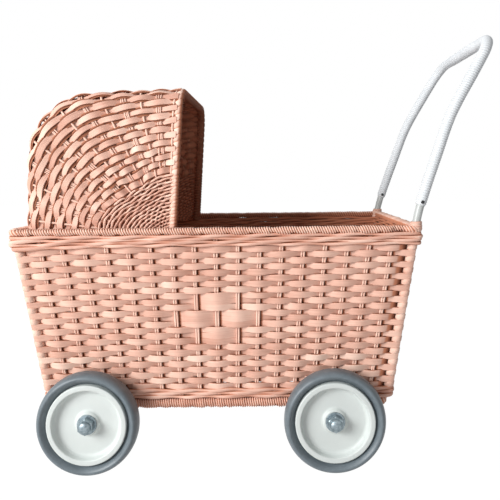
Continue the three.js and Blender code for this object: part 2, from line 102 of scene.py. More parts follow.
def calculate(tree, operation, *values, **settings):
    """The output of one Math node."""
    made = add_node(tree, "ShaderNodeMath", dict(enumerate(values)), operation=operation, **settings)
    return made.outputs[0]


def mix_colour(tree, share, first, second):
    """The output of a node that goes from the first colour to the second as the share goes from 0 to 1."""
    return add_node(tree, "ShaderNodeMix", {0: share, 6: first, 7: second}, data_type="RGBA").outputs[2]


def colour_ramp(tree, level, first, last, *between):
    """The output of a colour ramp. Each stop is its place and a hex colour."""
    ramp = add_node(tree, "ShaderNodeValToRGB", {"Fac": level})
    stops = ramp.color_ramp.elements
    stops[0].position, stops[0].color = first[0], linear(first[1])
    stops[1].position, stops[1].color = last[0], linear(last[1])
    for place, colour in between:
        stops.new(place).color = linear(colour)
    return ramp.outputs[0]


def noise(tree, place, size, **values):
    """The output of a noise texture whose clouds are about `size` wide."""
    return add_node(tree, "ShaderNodeTexNoise", {"Vector": place, "Scale": 1 / size, **values}).outputs["Fac"]


def carried(tree, name):
    """The value that each point of a piece carries under this name."""
    return add_node(tree, "ShaderNodeAttribute", attribute_name=name).outputs["Fac"]


def roughen(tree, shader, height, strength, distance):
    """A bump for the shader's surface."""
    bump = add_node(tree, "ShaderNodeBump", {"Height": height, "Strength": strength, "Distance": distance})
    tree.links.new(bump.outputs[0], shader.inputs["Normal"])


def seen_directly(tree):
    """1 for rays from the camera, off a mirror or through glass, and 0 for light that lands on things."""
    rays = add_node(tree, "ShaderNodeLightPath")
    seen = rays.outputs["Is Camera Ray"]
    for kind in ("Is Glossy Ray", "Is Transmission Ray"):
        seen = calculate(tree, "MAXIMUM", seen, rays.outputs[kind])
    return seen


def fresh_tree(owner):
    """The empty node tree of a new material or world."""
    owner.use_nodes = True
    owner.node_tree.nodes.clear()
    return owner.node_tree


def new_material(name, **values):
    """A material with a fresh Principled shader, and constant values set on its own sockets."""
    made = bpy.data.materials.new(name)
    tree = fresh_tree(made)
    shader = add_node(tree, "ShaderNodeBsdfPrincipled", values)
    add_node(tree, "ShaderNodeOutputMaterial", {"Surface": shader.outputs["BSDF"]})
    return made, tree, shader

# %% [markdown]
# ## Floor and light
# The floor is plain and pale. To the camera it is mostly a white glow, mixed with an ordinary
# matt white that still takes the pram's shadow, so the background stays white without throwing
# more light at the cane. The light is one broad soft lamp, high on the left and in front, and
# a pale room all round. A weave needs the slanting lamp: flat light would hide its relief.

# %% Floor
floor_mesh = bpy.data.meshes.new("floor")
floor_mesh.from_pydata([(-6, -6, 0), (6, -6, 0), (6, 6, 0), (-6, 6, 0)], [], [(0, 1, 2, 3)])
floor = bpy.data.objects.new("floor", floor_mesh)
scene.collection.objects.link(floor)

paper = bpy.data.materials.new("matt_white_paper")
tree = fresh_tree(paper)
matt = add_node(tree, "ShaderNodeBsdfDiffuse", {"Color": linear("#f2f2f2")})
glow = add_node(tree, "ShaderNodeEmission", {"Color": (1, 1, 1, 1), "Strength": 1.07})
share = calculate(tree, "MULTIPLY", seen_directly(tree), 0.93)
mixed = add_node(tree, "ShaderNodeMixShader", {0: share, 1: matt.outputs[0], 2: glow.outputs[0]})
add_node(tree, "ShaderNodeOutputMaterial", {"Surface": mixed.outputs[0]})
floor_mesh.materials.append(paper)

# %% Room light and lamp
room = bpy.data.worlds.new("pale_room")
tree = fresh_tree(room)
fill = add_node(tree, "ShaderNodeBackground", {"Color": linear("#fbfcff"), "Strength": 0.26})
white = add_node(tree, "ShaderNodeBackground", {"Color": (1, 1, 1, 1), "Strength": 1.0})
mixed = add_node(tree, "ShaderNodeMixShader",
                 {0: seen_directly(tree), 1: fill.outputs[0], 2: white.outputs[0]})
add_node(tree, "ShaderNodeOutputWorld", {"Surface": mixed.outputs[0]})
scene.world = room


def soft_lamp(name, place, aim, size, power):
    """A square area lamp of a given side, whose face looks at a point."""
    data = bpy.data.lights.new(name, "AREA")
    data.size = size
    data.energy = power
    lamp = bpy.data.objects.new(name, data)
    lamp.location = place
    away = np.array(place) - np.array(aim)
    lamp.rotation_euler = (math.atan2(math.hypot(away[0], away[1]), away[2]), 0,
                           math.atan2(away[1], away[0]) + math.pi / 2)
    scene.collection.objects.link(lamp)


soft_lamp("window", (-2.05, -1.75, 1.2), (0.0, 0.0, 0.25), size=1.3, power=92)
print("stage ready")

# %% [markdown]
# ## From an array of points to a piece
# Every strand here, flat strip, round reed, wrapped cord or tyre, is the same kind of surface:
# a small outline carried along a path. So a piece is one array, indexed by strand, by step along
# the path and by corner of the outline. The quads join neighbours in that grid. A path that
# comes back to its start wraps round, and an open one gets a lid at each end. If the volume
# comes out negative, the faces point inwards, and all of them are turned over.

# %% Pieces from strands
def grid_numbers(steps, corners, closes):
    """Quads (s, c), (s, c+1), (s+1, c+1), (s+1, c) of a grid whose corners always wrap round."""
    s, c = np.meshgrid(np.arange(steps if closes else steps - 1), np.arange(corners), indexing="ij")
    at_step, at_corner = np.stack([s, s, s + 1, s + 1], -1), np.stack([c, c + 1, c + 1, c], -1)
    return at_step.reshape(-1, 4), at_corner.reshape(-1, 4)


def strand_piece(name, points, closes, finish, slot, replaces=(), body="pram",
                 grain=None, sharp=None, **paint):
    """points[strand, step, corner, xyz] to a piece that rides on a body of the frame.

    grain is the distance along each strand, in metres, for the texture's first coordinate;
    each paint is a number for every point, kept as an attribute that the finish can read."""
    strands, steps, corners = points.shape[:3]
    at_step, at_corner = grid_numbers(steps, corners, closes)
    inside_strand = (at_step % steps) * corners + at_corner % corners
    first = np.arange(strands)[:, None, None] * steps * corners
    quads = (inside_strand + first).reshape(-1, 4)

    a, b, c, d = (points.reshape(-1, 3)[quads[:, i]] for i in range(4))
    volume = np.einsum("ij,ij->", np.cross(b - a, c - a) + np.cross(c - a, d - a), (a + c) / 2)
    flip = volume < 0
    if flip:
        quads, at_step, at_corner = quads[:, ::-1], at_step[:, ::-1], at_corner[:, ::-1]
    loops = [quads.ravel()]
    sizes = [np.full(len(quads), 4)]
    if not closes:
        ring = np.arange(corners)
        # the first quad runs with the corners at its start, so the lid there runs against them
        lids = np.stack([ring[::-1], ring + (steps - 1) * corners])
        if flip:
            lids = lids[:, ::-1]
        lids = (lids + first).reshape(-1, corners)
        loops.append(lids.ravel())
        sizes.append(np.full(len(lids), corners))
    loops, sizes = np.concatenate(loops), np.concatenate(sizes)

    mesh = bpy.data.meshes.new(name)
    mesh.vertices.add(points.size // 3)
    mesh.vertices.foreach_set("co", points.astype(np.float32).ravel())
    mesh.loops.add(len(loops))
    mesh.loops.foreach_set("vertex_index", loops.astype(np.int32))
    mesh.polygons.add(len(sizes))
    mesh.polygons.foreach_set("loop_start", np.concatenate([[0], np.cumsum(sizes)[:-1]]).astype(np.int32))
    mesh.polygons.foreach_set("use_smooth", np.ones(len(sizes), bool))
    mesh.update(calc_edges=True)

    if grain is not None:
        girth = np.linalg.norm(np.diff(points[:1, :1], axis=2, append=points[:1, :1, :1]), axis=-1).ravel()
        around = np.concatenate([[0], np.cumsum(girth)])
        last = grain[:, -1:] + (grain[:, -1:] - grain[:, -2:-1])
        lengths = np.concatenate([grain, last], axis=1)
        uv = np.zeros((len(loops), 2), np.float32)
        uv[: len(quads) * 4, 0] = lengths[:, at_step.ravel()].ravel()
        uv[: len(quads) * 4, 1] = np.tile(around[at_corner.ravel()], strands)
        mesh.uv_layers.new(name="grain").data.foreach_set("uv", uv.ravel())
    for key, values in paint.items():
        layer = mesh.attributes.new(key, "FLOAT", "POINT")
        layer.data.foreach_set("value", np.broadcast_to(values, points.shape[:3]).astype(np.float32).ravel())
    if sharp is not None:
        mesh.set_sharp_from_angle(angle=math.radians(sharp))
    mesh.materials.append(finish)

    piece = bpy.data.objects.new(name, mesh)
    scene.collection.objects.link(piece)
    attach(piece, body)
    if replaces:
        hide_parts(*replaces)
    print(f"{name}: {strands} strands, {len(quads) * 2} triangles, volume {'turned' if flip else 'good'}")


def swept(path, first, second, outline):
    """Points path + x * first + y * second for each corner (x, y) of an outline carried along a path."""
    x, y = outline[..., :1], outline[..., 1:]
    return path[..., None, :] + x * first[..., None, :] + y * second[..., None, :]


def lengths_along(path):
    """Distance along each path[..., step, xyz] from its first step."""
    hops = np.linalg.norm(np.diff(path, axis=-2), axis=-1)
    return np.concatenate([np.zeros((*hops.shape[:-1], 1)), np.cumsum(hops, axis=-1)], axis=-1)


def read_at(distances, length, values):
    """values[step, column] read off at given distances, from the length reached at each step."""
    return np.stack([np.interp(distances, length, column) for column in values.T], -1)


def raised(plan, z):
    """Plan points or directions xy, with z added."""
    return np.concatenate([plan, np.broadcast_to(z, plan.shape[:-1])[..., None]], -1)


def unit(vectors):
    """Each vector over its own length."""
    return vectors / np.linalg.norm(vectors, axis=-1, keepdims=True)


def hermite(t, a, b, ta, tb):
    """Cubic from A to B that sets out along Ta and arrives along Tb: h00 A + h01 B + h10 Ta + h11 Tb."""
    return ((2 * t ** 3 - 3 * t ** 2 + 1) * a + (3 * t ** 2 - 2 * t ** 3) * b
            + (t ** 3 - 2 * t ** 2 + t) * ta + (t ** 3 - t ** 2) * tb)


def together(*columns):
    """Arrays of matching shapes as the last coordinate of one array."""
    return np.stack(np.broadcast_arrays(*columns), -1)


def full_turn(sides):
    """Evenly spaced angles once round."""
    return 2 * np.pi * np.arange(sides) / sides


def round_section(radius, sides):
    """Corners of a circle, as (side, outward) pairs."""
    return radius * together(np.cos(full_turn(sides)), np.sin(full_turn(sides)))


SIDES = ((-1, "left"), (1, "right"))
chance = np.random.default_rng(12)


def wander(rows, knots, samples, size, closes=True):
    """Smooth chance: random heights at evenly spaced knots, blended by t*t*(3 - 2t) in between."""
    heights = chance.normal(0, size, (rows, knots))
    u = np.arange(samples) / samples * knots if closes else np.linspace(0, knots - 1.001, samples)
    left = np.floor(u).astype(int)
    t = u - left
    t = t * t * (3 - 2 * t)
    return heights[:, left % knots] * (1 - t) + heights[:, (left + 1) % knots] * t

# %% [markdown]
# ## Painted cane
# The cane is split rattan, dipped or sprayed with a satin salmon paint. Paint lies thick on the
# outside and fades to bare brown cane inside, where the spray didn't reach. Past the bare brown
# the colour goes on to a darker brown, which is painted shade: between strips, in nicks and
# grooves, and just past the stakes. Along each strip the fibres still show through as fine light
# and dark lines, which is why the colour reads the strip's own length and width and not the
# room's. Real fibres are about 0.1 mm wide. They are drawn at 0.6 mm, so that they show at all.

# %% Material: satin paint over split cane
def painted_cane(name, light, base, shade, bare, painted_shade_brown):
    """Satin paint: fibres along the strip, tone by strip, bare where 'inside' is 1, and painted shade in the
    darkest brown where it is 2.
    """
    made, tree, shader = new_material(name, Roughness=0.55, IOR=1.46)
    grain = add_node(tree, "ShaderNodeUVMap", uv_map="grain")
    fibres = add_node(tree, "ShaderNodeMapping",
                      {"Vector": grain.outputs[0], "Scale": (1 / 0.045, 1 / 0.0012, 1)})
    fibres = noise(tree, fibres.outputs[0], 1.0, Detail=3.0, Roughness=0.6)
    place = add_node(tree, "ShaderNodeTexCoord")
    patches = noise(tree, place.outputs["Object"], 0.02, Detail=2.0)
    level = calculate(tree, "MULTIPLY_ADD", fibres, 0.5, carried(tree, "tone"))
    level = calculate(tree, "MULTIPLY_ADD", patches, 0.35, level)
    paint = colour_ramp(tree, level, (0.15, shade), (0.75, light), (0.42, base))
    inside = carried(tree, "inside")
    # the paint's edge is ragged, so the noise shifts where it stops
    edge = calculate(tree, "MULTIPLY_ADD", patches, 0.4, inside)
    edge = add_node(tree, "ShaderNodeMapRange", {"Value": edge, "From Min": 0.45, "From Max": 0.95})
    edge = edge.outputs[0]
    # painted shade: past 1, up to 2, 'inside' takes the colour on to the darkest brown
    shade_share = calculate(tree, "SUBTRACT", inside, 1.0, use_clamp=True)
    colour = mix_colour(tree, shade_share, mix_colour(tree, edge, paint, linear(bare)), linear(painted_shade_brown))
    # only the paint has a sheen, bare cane is matt
    sheen = calculate(tree, "MULTIPLY_ADD", edge, -0.32, 0.35)
    tree.links.new(sheen, shader.inputs["Specular IOR Level"])
    tree.links.new(colour, shader.inputs["Base Color"])
    roughen(tree, shader, fibres, 0.35, 0.0004)
    return made


satin_painted_cane = painted_cane("satin_painted_cane", "#f6d2bf", "#e6b7a3", "#cc9985",
                                  "#d38c6d", "#44231a")


def cane_piece(name, points, closes, replaces=(), **paint):
    """A strand piece of painted cane."""
    strand_piece(name, points, closes, satin_painted_cane, "cane", replaces, **paint)

# %% [markdown]
# ## The basket's plan
# A basket starts from its stakes, the uprights that the weavers pass. This one has 17 pairs on
# each long side, 9 on each end and a stout post in each corner: 56 places, an even number, so a
# weaver that passes outside one and inside the next meets its own start correctly. The walls
# lean outwards, so each place is a straight line from the foot to the rim.

# %% Stake lines
def corners_of(name):
    """All vertices of a frame node."""
    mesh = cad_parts[name].data
    found = np.empty(len(mesh.vertices) * 3, np.float32)
    mesh.vertices.foreach_get("co", found)
    return found.reshape(-1, 3).astype(float)


def middle_of(name):
    """Middle of a frame node's box."""
    low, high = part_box(name)
    return np.array([(a + b) / 2 for a, b in zip(low, high)])


wall = corners_of("basket_wall")
wall_foot, wall_top = wall[:, 2].min(), wall[:, 2].max()
middle_x = middle_of("basket_wall")[0]
foot_half, top_half = (np.abs(wall[np.abs(wall[:, 2] - z) < 2e-4][:, :2] - (middle_x, 0)).max(0)
                       for z in (wall_foot, wall_top))


def half_size(z):
    """Half length and half width of the basket's outside at a height, straight from foot to top."""
    t = (np.asarray(z)[..., None] - wall_foot) / (wall_top - wall_foot)
    return foot_half + t * (top_half - foot_half)


LONG, END = 17, 9
POST_INSET, STAKE_INSET = 0.007, 0.0040


def places_around():
    """Place in the unit square, way out and kind of all 56 stakes, anticlockwise from the head's left."""
    along = np.arange(1, LONG + 1) / (LONG + 1) * 2 - 1
    across = np.arange(1, END + 1) / (END + 1) * 2 - 1
    ones = np.ones
    x = np.concatenate([[-1], along, [1], ones(END), [1], -along, [-1], -ones(END)])
    y = np.concatenate([[-1], -ones(LONG), [-1], across, [1], ones(LONG), [1], -across])
    corner = (np.abs(x) == 1) & (np.abs(y) == 1)
    out = np.stack([np.where(np.abs(x) == 1, x, 0), np.where(np.abs(y) == 1, y, 0)], -1)
    return np.stack([x, y], -1), unit(out), corner


stake_unit, stake_out, is_corner = places_around()
stake_run = np.stack([-stake_out[:, 1], stake_out[:, 0]], -1)
STAKES = len(stake_unit)
# the corners' places in that count, the head's left and right and the handle end's left and right
HEAD_CORNERS, HANDLE_CORNERS = [0, 46], [18, 28]


def stake_at(z):
    """Plan position of every stake's line at heights z[...]: result[..., stake, xy]."""
    half = half_size(z)[..., None, :]
    post = stake_unit * (half - POST_INSET)
    side = post + stake_out * (POST_INSET - STAKE_INSET)
    return np.where(is_corner[:, None], post, side) + (middle_x, 0)


print(STAKES, "stake places, about", round(1000 * 2 * top_half[0] / (LONG + 1), 1), "mm apart")

# %% [markdown]
# ## One course of weaving
# Seen from above, a weaver swings outside a stake, then inside the next. Between two stakes the
# curve is a cubic whose ends run along the wall, so it eases from one side to the other. At a
# corner the end runs diagonally, which wraps the strip round the post. Height and depth are
# then added: the strip's section, flat outside and wider at its back, stands upright on it.

# %% Curve of the weavers
def plan_curve(z, side, reach, samples):
    """Plan points of closed weavers: cubic h00 A + h01 B + h10 Ta + h11 Tb between stakes A and B.

    z[row, step, corner] are heights, side[row, stake] is +1 outside or -1 inside, and reach is
    how far from each stake's line the weaver's middle passes."""
    t = np.tile(np.arange(samples) / samples, STAKES)[None, :, None]
    j = np.repeat(np.arange(STAKES), samples)
    share = ((z - wall_foot) / (wall_top - wall_foot))[..., None]
    low, high = stake_at(np.array(wall_foot)), stake_at(np.array(wall_top))
    swing = side[..., None] * (reach[:, None] * stake_out)

    def ends(k):
        line = low[k][None, :, None] + share * (high[k] - low[k])[None, :, None]
        return line + swing[:, k][:, :, None]

    gap = np.linalg.norm(high - np.roll(high, -1, 0), axis=-1)
    # how firmly the curve holds its direction at each stake
    pull = np.where(is_corner, 0.015, 0.9 * gap)[:, None] * stake_run
    a, b = ends(j), ends((j + 1) % STAKES)
    ta, tb = pull[j][None, :, None], pull[(j + 1) % STAKES][None, :, None]
    return hermite(t[..., None], a, b, ta, tb)


def outward(curve):
    """Level unit normals of closed plan curves that run anticlockwise."""
    run = np.roll(curve, -1, 1) - np.roll(curve, 1, 1)
    return unit(np.stack([run[..., 1], -run[..., 0]], -1))


# %% Flat weavers of the wall
COURSES, STRIP_SAMPLES = 25, 8
pitch = (wall_top - wall_foot) / COURSES
steps = STAKES * STRIP_SAMPLES
row = np.arange(COURSES)[:, None]  # counted down from the top
side = np.where((row + np.arange(STAKES)) % 2 == 1, 1.0, -1.0)
for centre in (9, 37):  # the middle stake of each long side, where three blocks of three are picked out
    for first, sign in ((8, 1.0), (11, -1.0), (14, 1.0)):
        block = slice(first, first + 3)
        side[block, centre] = sign
        side[block, [[centre - 1], [centre + 1]]] = -sign
    side[11:14, [[centre - 2], [centre + 2]]] = -1.0

# from the middle of a post or a stake to the middle of the weaver that passes it
stake_reach = np.where(is_corner, 0.0051, 0.0032)
ease = np.tile((1 - np.cos(np.pi * np.arange(STRIP_SAMPLES) / STRIP_SAMPLES)) / 2, STAKES)
at = np.repeat(np.arange(STAKES), STRIP_SAMPLES)
front = (side[:, at] * (1 - ease) + side[:, (at + 1) % STAKES] * ease + 1) / 2


def near_head_left(steps):
    """1 at the head-left corner, fading within a few stake places either way round."""
    u = np.arange(steps) / steps * STAKES
    return np.exp(-np.minimum(u, STAKES - u) / 2.6)


# the strips sag towards the head-left corner, most at the top
sag = 0.0042 * near_head_left(steps) * (1 - row / COURSES)
height = wall_top - (row + 0.5) * pitch - sag + wander(COURSES, 40, steps, 0.00035)
half_width = 0.0036 + 0.0006 * front + wander(COURSES, 112, steps, 0.00022)
# share of the half face, share of the half back, height in thicknesses, bareness, which past 1 is painted
# shade
flat_strip = np.array([
    (0, -1, -0.9, 1.1), (0, 1, -0.9, 1.1), (1.03, 0, -0.2, 1.9), (1.0, 0, 0.22, 0.3),
    (0.86, 0, 0.5, 0.0), (-0.86, 0, 0.5, 0.0), (-1.0, 0, 0.22, 0.3), (-1.03, 0, -0.2, 1.9)])
THICK, HALF_BACK = 0.0017, 0.60  # the back is a little wider than the pitch, which closes the wall
z = height[..., None] + half_width[..., None] * flat_strip[:, 0] + HALF_BACK * pitch * flat_strip[:, 1]
curve = plan_curve(z, side, stake_reach, STRIP_SAMPLES)
spine = curve.mean(2)
across = outward(spine)[:, :, None] * (flat_strip[:, 2] * THICK)[None, None, :, None]
weavers = raised(curve + across, z)

tone = (wander(COURSES, 28, steps, 0.10) + chance.normal(0, 0.04, (COURSES, 1)))[..., None]
# painted shadow of the stakes: each strip is darkened just past every stake that it slips behind, the side
# away from the lamp on the near wall
past = np.tile(np.arange(STRIP_SAMPLES) / STRIP_SAMPLES, STAKES)
painted_shadow = np.where(side[:, at] < 0, 1.9 * np.exp(-((past - 0.115) / 0.09) ** 2), 0.0)
# and painted shade in the stretch of strip that runs in behind a corner post
ahead = (at + 1) % STAKES
hidden = is_corner[ahead] & (side[:, ahead] < 0)
painted_shadow = painted_shadow + np.where(hidden, 2.0 * np.clip((past - 0.25) / 0.45, 0, 1), 0.0)
depth = painted_shadow[..., None] + flat_strip[:, 3]
STRIP_EDGE = 32  # degrees, past which an edge of a flat strip is seen as a crease
cane_piece("wall_weavers", weavers, True, ["basket_wall"],
           grain=lengths_along(raised(spine, height)) + row * 0.37,
           tone=tone, inside=depth, sharp=STRIP_EDGE)

# %% [markdown]
# ## Wrapped corners
# A weaver that passes inside a corner post is first taken once round it, so the post is covered
# from foot to rim. Each of those turns is a short flat ring about the post, level with its
# course, and a little fuller than the strip.

# %% Turns round the corner posts
def post_turns(name, posts, heights, radius, half_high, thick, tone):
    """Flat rings: middle radius r about each post line, with a six-cornered section."""
    section = np.array([(-1, 0), (-0.8, -0.5), (0.8, -0.5), (1, 0), (0.74, 0.5), (-0.74, 0.5)])
    centre = np.stack([stake_at(z)[p] for p, z in zip(posts, heights)])
    z = heights[:, None, None] + half_high * section[:, 0]
    share = radius + thick * section[:, 1]
    a_bit = 0.001
    lean = (half_size(heights + a_bit) - half_size(heights)) / a_bit
    drift = (stake_unit[posts] * lean)[:, None, None] * (half_high * section[:, 0])[None, None, :, None]
    way = round_section(1.0, 24)[None, :, None]
    flat = centre[:, None, None] + drift + way * share[:, None]
    length = full_turn(24) * 0.005 + np.arange(len(posts))[:, None] * 0.05
    cane_piece(name, raised(flat, z), True, grain=length,
               tone=tone, inside=np.where(section[:, 1] < -0.1, 0.8, 0.0))


corner_posts = np.flatnonzero(is_corner)
at_row, at_post = np.nonzero(side[:, corner_posts] < 0)
ring_posts = corner_posts[at_post]
ring_heights = height[at_row, ring_posts * STRIP_SAMPLES]
post_turns("corner_turns", ring_posts, ring_heights, radius=0.0051, half_high=0.0040, thick=0.0022,
           tone=chance.normal(0.12, 0.08, (len(ring_posts), 1, 1)))

# %% [markdown]
# ## Stakes and corner posts
# Each stake is a pair of round reeds, side by side, that runs from inside the foot border to
# inside the rim border. The reeds are not quite straight, because every weaver pushed them a
# little. The corner posts are thicker rods. At the handle end they are steel and go on up.

# %% Paired stakes
foot_z, rim_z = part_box("foot_border")[0].z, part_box("rim_border")[1].z
levels = np.linspace(foot_z + 0.004, rim_z - 0.004, 26)
lines = stake_at(levels)[:, ~is_corner].transpose(1, 0, 2)
run, out = stake_run[~is_corner][:, None], stake_out[~is_corner][:, None]
reed = 0.00128
pairs = []
for step in (-1, 1):
    jog = wander(len(lines), 9, len(levels), 0.00022, closes=False)[..., None]
    pairs.append(lines + run * (step * (reed + 0.00008) + jog))
path = raised(np.concatenate(pairs), levels)
ring = round_section(reed, 8)
both_run, both_out = raised(np.tile(run, (2, 1, 1)), 0.0), raised(np.tile(out, (2, 1, 1)), 0.0)
# painted light: the stakes are painted lighter than the strips, to make up for the shade they stand in
tone = 0.22 + wander(len(path), 6, len(levels), 0.1, closes=False)[..., None]
cane_piece("wall_stakes", swept(path, both_run, both_out, ring), False,
           grain=lengths_along(path), tone=tone, inside=np.where(ring[:, 1] < -0.0004, 0.8, 0.0))

# %% Corner posts at the head
low_post = np.linspace(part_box("head_post_left")[0].z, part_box("head_post_left")[1].z, 12)
posts = raised(stake_at(low_post)[:, HEAD_CORNERS].transpose(1, 0, 2), low_post)
HEAD_POST_RADIUS, ROD_RADIUS = 0.004, 0.005
tube = posts[:, :, None] + raised(round_section(HEAD_POST_RADIUS, 20), 0.0)
cane_piece("head_posts", tube, False, ["head_post_left", "head_post_right"],
           grain=lengths_along(posts), tone=0.1, inside=0.1)

# %% [markdown]
# ## Waling
# Under the rim and over the foot, several rods are worked together, each passing outside a few
# stakes and then slipping behind the next. It locks the wall. From outside it reads as long
# spindles that overlap like the strands of a rope. Its outside and its inside are drawn as
# two sets of rods. Each rod swings in and out once in every two stake gaps, out of step with
# its neighbours, and rises a little while it is in front.

# %% Wales
def wale(name, node, strands, droop, side, reach, corner_reach, radius, replaces=()):
    """Closed rods round the wall, of which rod m lies m + 1/2 gaps below the top.

    With p = pi (u + its start) at u stakes from the head-left corner, depth and thickness follow
    -cos p and the height -sin p. side is +1 for rods outside the stakes, -1 for rods inside."""
    low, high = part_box(node)
    samples = 10
    steps = STAKES * samples
    u = np.arange(steps) / samples
    m = np.arange(strands)[:, None]
    fall = droop * near_head_left(steps)
    top = high.z + 0.0012  # a little past the frame's own wale
    gap = (top - low.z + fall) / strands
    start = np.array([0.0, 0.7, 1.3, 0.35])[:strands, None]

    def uneven(size):
        return wander(strands, STAKES, steps, size)

    phase = np.pi * (u + start) + uneven(0.3)
    height = top - (m + 0.5) * gap - 0.0006 * np.sin(phase) + uneven(0.00035)
    swell = (1.17 if side > 0 else 1.3) - 0.13 * np.cos(phase) + uneven(0.05)
    section = round_section(1.0, 8)
    z = height[..., None] + (gap * 0.50)[..., None] * swell[..., None] * section[:, 1]
    curve = plan_curve(z, np.full((strands, STAKES), side), np.where(is_corner, corner_reach, reach), samples)
    spine = curve.mean(2)
    out = outward(spine)[:, :, None]
    depth = 0.0001 - 0.0012 * np.cos(phase) + uneven(0.0002)
    curve = curve + out * (depth[..., None] + radius * section[:, 0])[..., None]
    # painted shade: darkest where a rod meets the next above and below, and darker where it swings in behind
    # a stake
    valley_shade = np.where(abs(section[:, 1]) > 0.9, 1.3, 0.0) + 0.45 * (1 + np.cos(phase[..., None])) / 2
    back = np.where(side * section[:, 0] < -0.3, 0.9, 0.0)
    # the rods inside the basket are bare all round, with painted shade along their tops and bottoms
    inside = np.maximum(valley_shade, back) if side > 0 else 1.1 + 0.8 * (abs(section[:, 1]) > 0.9)
    cane_piece(name, raised(curve, z), True, replaces,
               grain=lengths_along(raised(spine, height)) + m * 0.21,
               tone=uneven(0.12)[..., None] - 0.06, inside=inside)


# strands, droop, side, reach, reach at the corners, radius
wale("rim_wale_rods", "rim_wale", 4, 0.0038, 1.0, 0.0038, 0.0085, 0.0019, ["rim_wale"])
wale("rim_wale_backs", "rim_wale", 4, 0.0, -1.0, 0.0042, 0.0056, 0.0022)
wale("base_wale_rods", "base_wale", 3, 0.0, 1.0, 0.0022, 0.0044, 0.0019, ["base_wale"])
wale("base_wale_backs", "base_wale", 3, 0.0, -1.0, 0.0040, 0.0050, 0.0022)

# %% [markdown]
# ## Whipped borders
# At the rim and at the foot the ends of the stakes are laid over in a bundle, and a thin reed is
# whipped round it turn after turn. Modelled turn by turn it would be several hundred rings, so
# the bundle is one closed ring whose surface swells and dips: depth = |sin| of half the angle
# that counts the turns. Where a stake bends over, the whipping opens and leaves a nick. The
# crests are painted lighter, and the grooves and nicks darker, as painted light and shade.

# %% Borders
def plan_ring(half, radius, steps):
    """Points and outward normals, evenly spaced by arc length, of a rounded rectangle."""
    turn = np.linspace(0, np.pi / 2, 13)
    arc = np.stack([np.cos(turn), np.sin(turn)], -1)
    points, normals = [], []
    for sx, sy, start in ((-1, -1, 2), (1, -1, 3), (1, 1, 0), (-1, 1, 1)):
        spin = np.array([[math.cos(start * math.pi / 2), math.sin(start * math.pi / 2)],
                         [-math.sin(start * math.pi / 2), math.cos(start * math.pi / 2)]])
        way = arc @ spin
        points.append((np.array([sx, sy]) * (np.array(half) - radius)) + radius * way)
        normals.append(way)
    points, normals = np.concatenate(points), np.concatenate(normals)
    points, normals = np.concatenate([points, points[:1]]), np.concatenate([normals, normals[:1]])
    length = lengths_along(points)
    at = np.arange(steps) / steps * length[-1]
    return read_at(at, length, points), unit(read_at(at, length, normals)), length[-1]


STAKE_SPACE, TUCK_REACH = 0.027, 0.010  # along the rim
BORDER_DEPTH = {"rim_border": 0.0145, "foot_border": 0.016}
BORDER_CORNER = 0.0085  # radius in plan of a border's middle line


def border(name, node, turns, slant, nick, draw_in=0.0):
    """Rounded bundle round the plan; its swell is |sin(pi (turns u + slant v))| with v up the outside.

    nick is the depth of the nicks at the stakes, and draw_in that of the rim's two handle
    corners, where the bindings of the rods show."""
    low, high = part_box(node)
    steps, corners = turns * 6, 18
    half = np.array([(high.x - low.x) / 2, (high.y - low.y) / 2])
    depth = BORDER_DEPTH[node]
    middle, normal, girth = plan_ring(half - depth / 2, BORDER_CORNER, steps)
    turn = full_turn(corners)
    # a squared circle: each coordinate is a root of the cosine or the sine
    side = np.sign(np.cos(turn)) * np.abs(np.cos(turn)) ** 0.7
    rise = np.sign(np.sin(turn)) * np.abs(np.sin(turn)) ** 0.7
    u = np.arange(steps)[:, None] / steps
    swell = np.abs(np.sin(np.pi * (turns * u + slant * rise)))
    crest = swell + wander(1, turns // 2, steps, 0.18)[0][:, None]
    at = (u * STAKES + 0.32 + wander(1, STAKES, steps, 0.12)[0][:, None]) % 1
    # a nick is deepest on the lower outside, an eighth of a turn down
    off_nick = (turn + np.pi * 0.25 + np.pi) % (2 * np.pi) - np.pi
    dip = np.exp(-((at - 0.5) / 0.12) ** 2 - off_nick ** 2 / 0.13)
    tuck = 0.0
    for corner in HANDLE_CORNERS:
        off = abs(u * STAKES - corner)
        tuck = tuck + np.exp(-(np.minimum(off, STAKES - off) * STAKE_SPACE / TUCK_REACH) ** 4)
    out = (depth / 2 - 0.0019 + 0.0019 * crest) * side - nick * dip - draw_in * tuck * (side > 0)
    up = ((high.z - low.z) / 2 - 0.0014 + 0.0014 * crest) * rise
    ring = middle[:, None] + normal[:, None] * out[..., None] + (middle_x, 0)
    points = raised(ring, (low.z + high.z) / 2 + up)[None]
    dull = 0.2 if node == "foot_border" else 0.02
    # painted light and shade: the crests of the turns are lighter and the grooves darker
    tone = 0.45 * (swell - 0.5) - dull + wander(1, turns // 3, steps, 0.09)[0][:, None]
    # bare on the inner side, and painted shade in the nicks and in the grooves between the turns
    inside = dip * 1.8 + 0.7 * ((side < -0.4) & (rise < 0.5)) + 2.0 * np.clip(1.2 - 1.9 * swell, 0, 1)
    cane_piece(name, points, True, [node],
               grain=(np.arange(steps) / steps * girth)[None],
               tone=tone[None], inside=np.clip(inside, 0, 2.0)[None])


border("rim_whipping", "rim_border", turns=480, slant=0.6, nick=0.0034, draw_in=0.0055)
border("foot_whipping", "foot_border", turns=420, slant=0.4, nick=0.0036)

# %% [markdown]
# ## The hood's surface
# The hood is a quarter-round cover. Its stakes fan out from the lower front corner of one side,
# climb that side, bend over the roof and come down to the same corner of the other side. So any
# point of the hood has two numbers: the angle of its stake up from the rim, and the distance
# along that stake from the middle of the roof. Everything on the hood is drawn with these two.

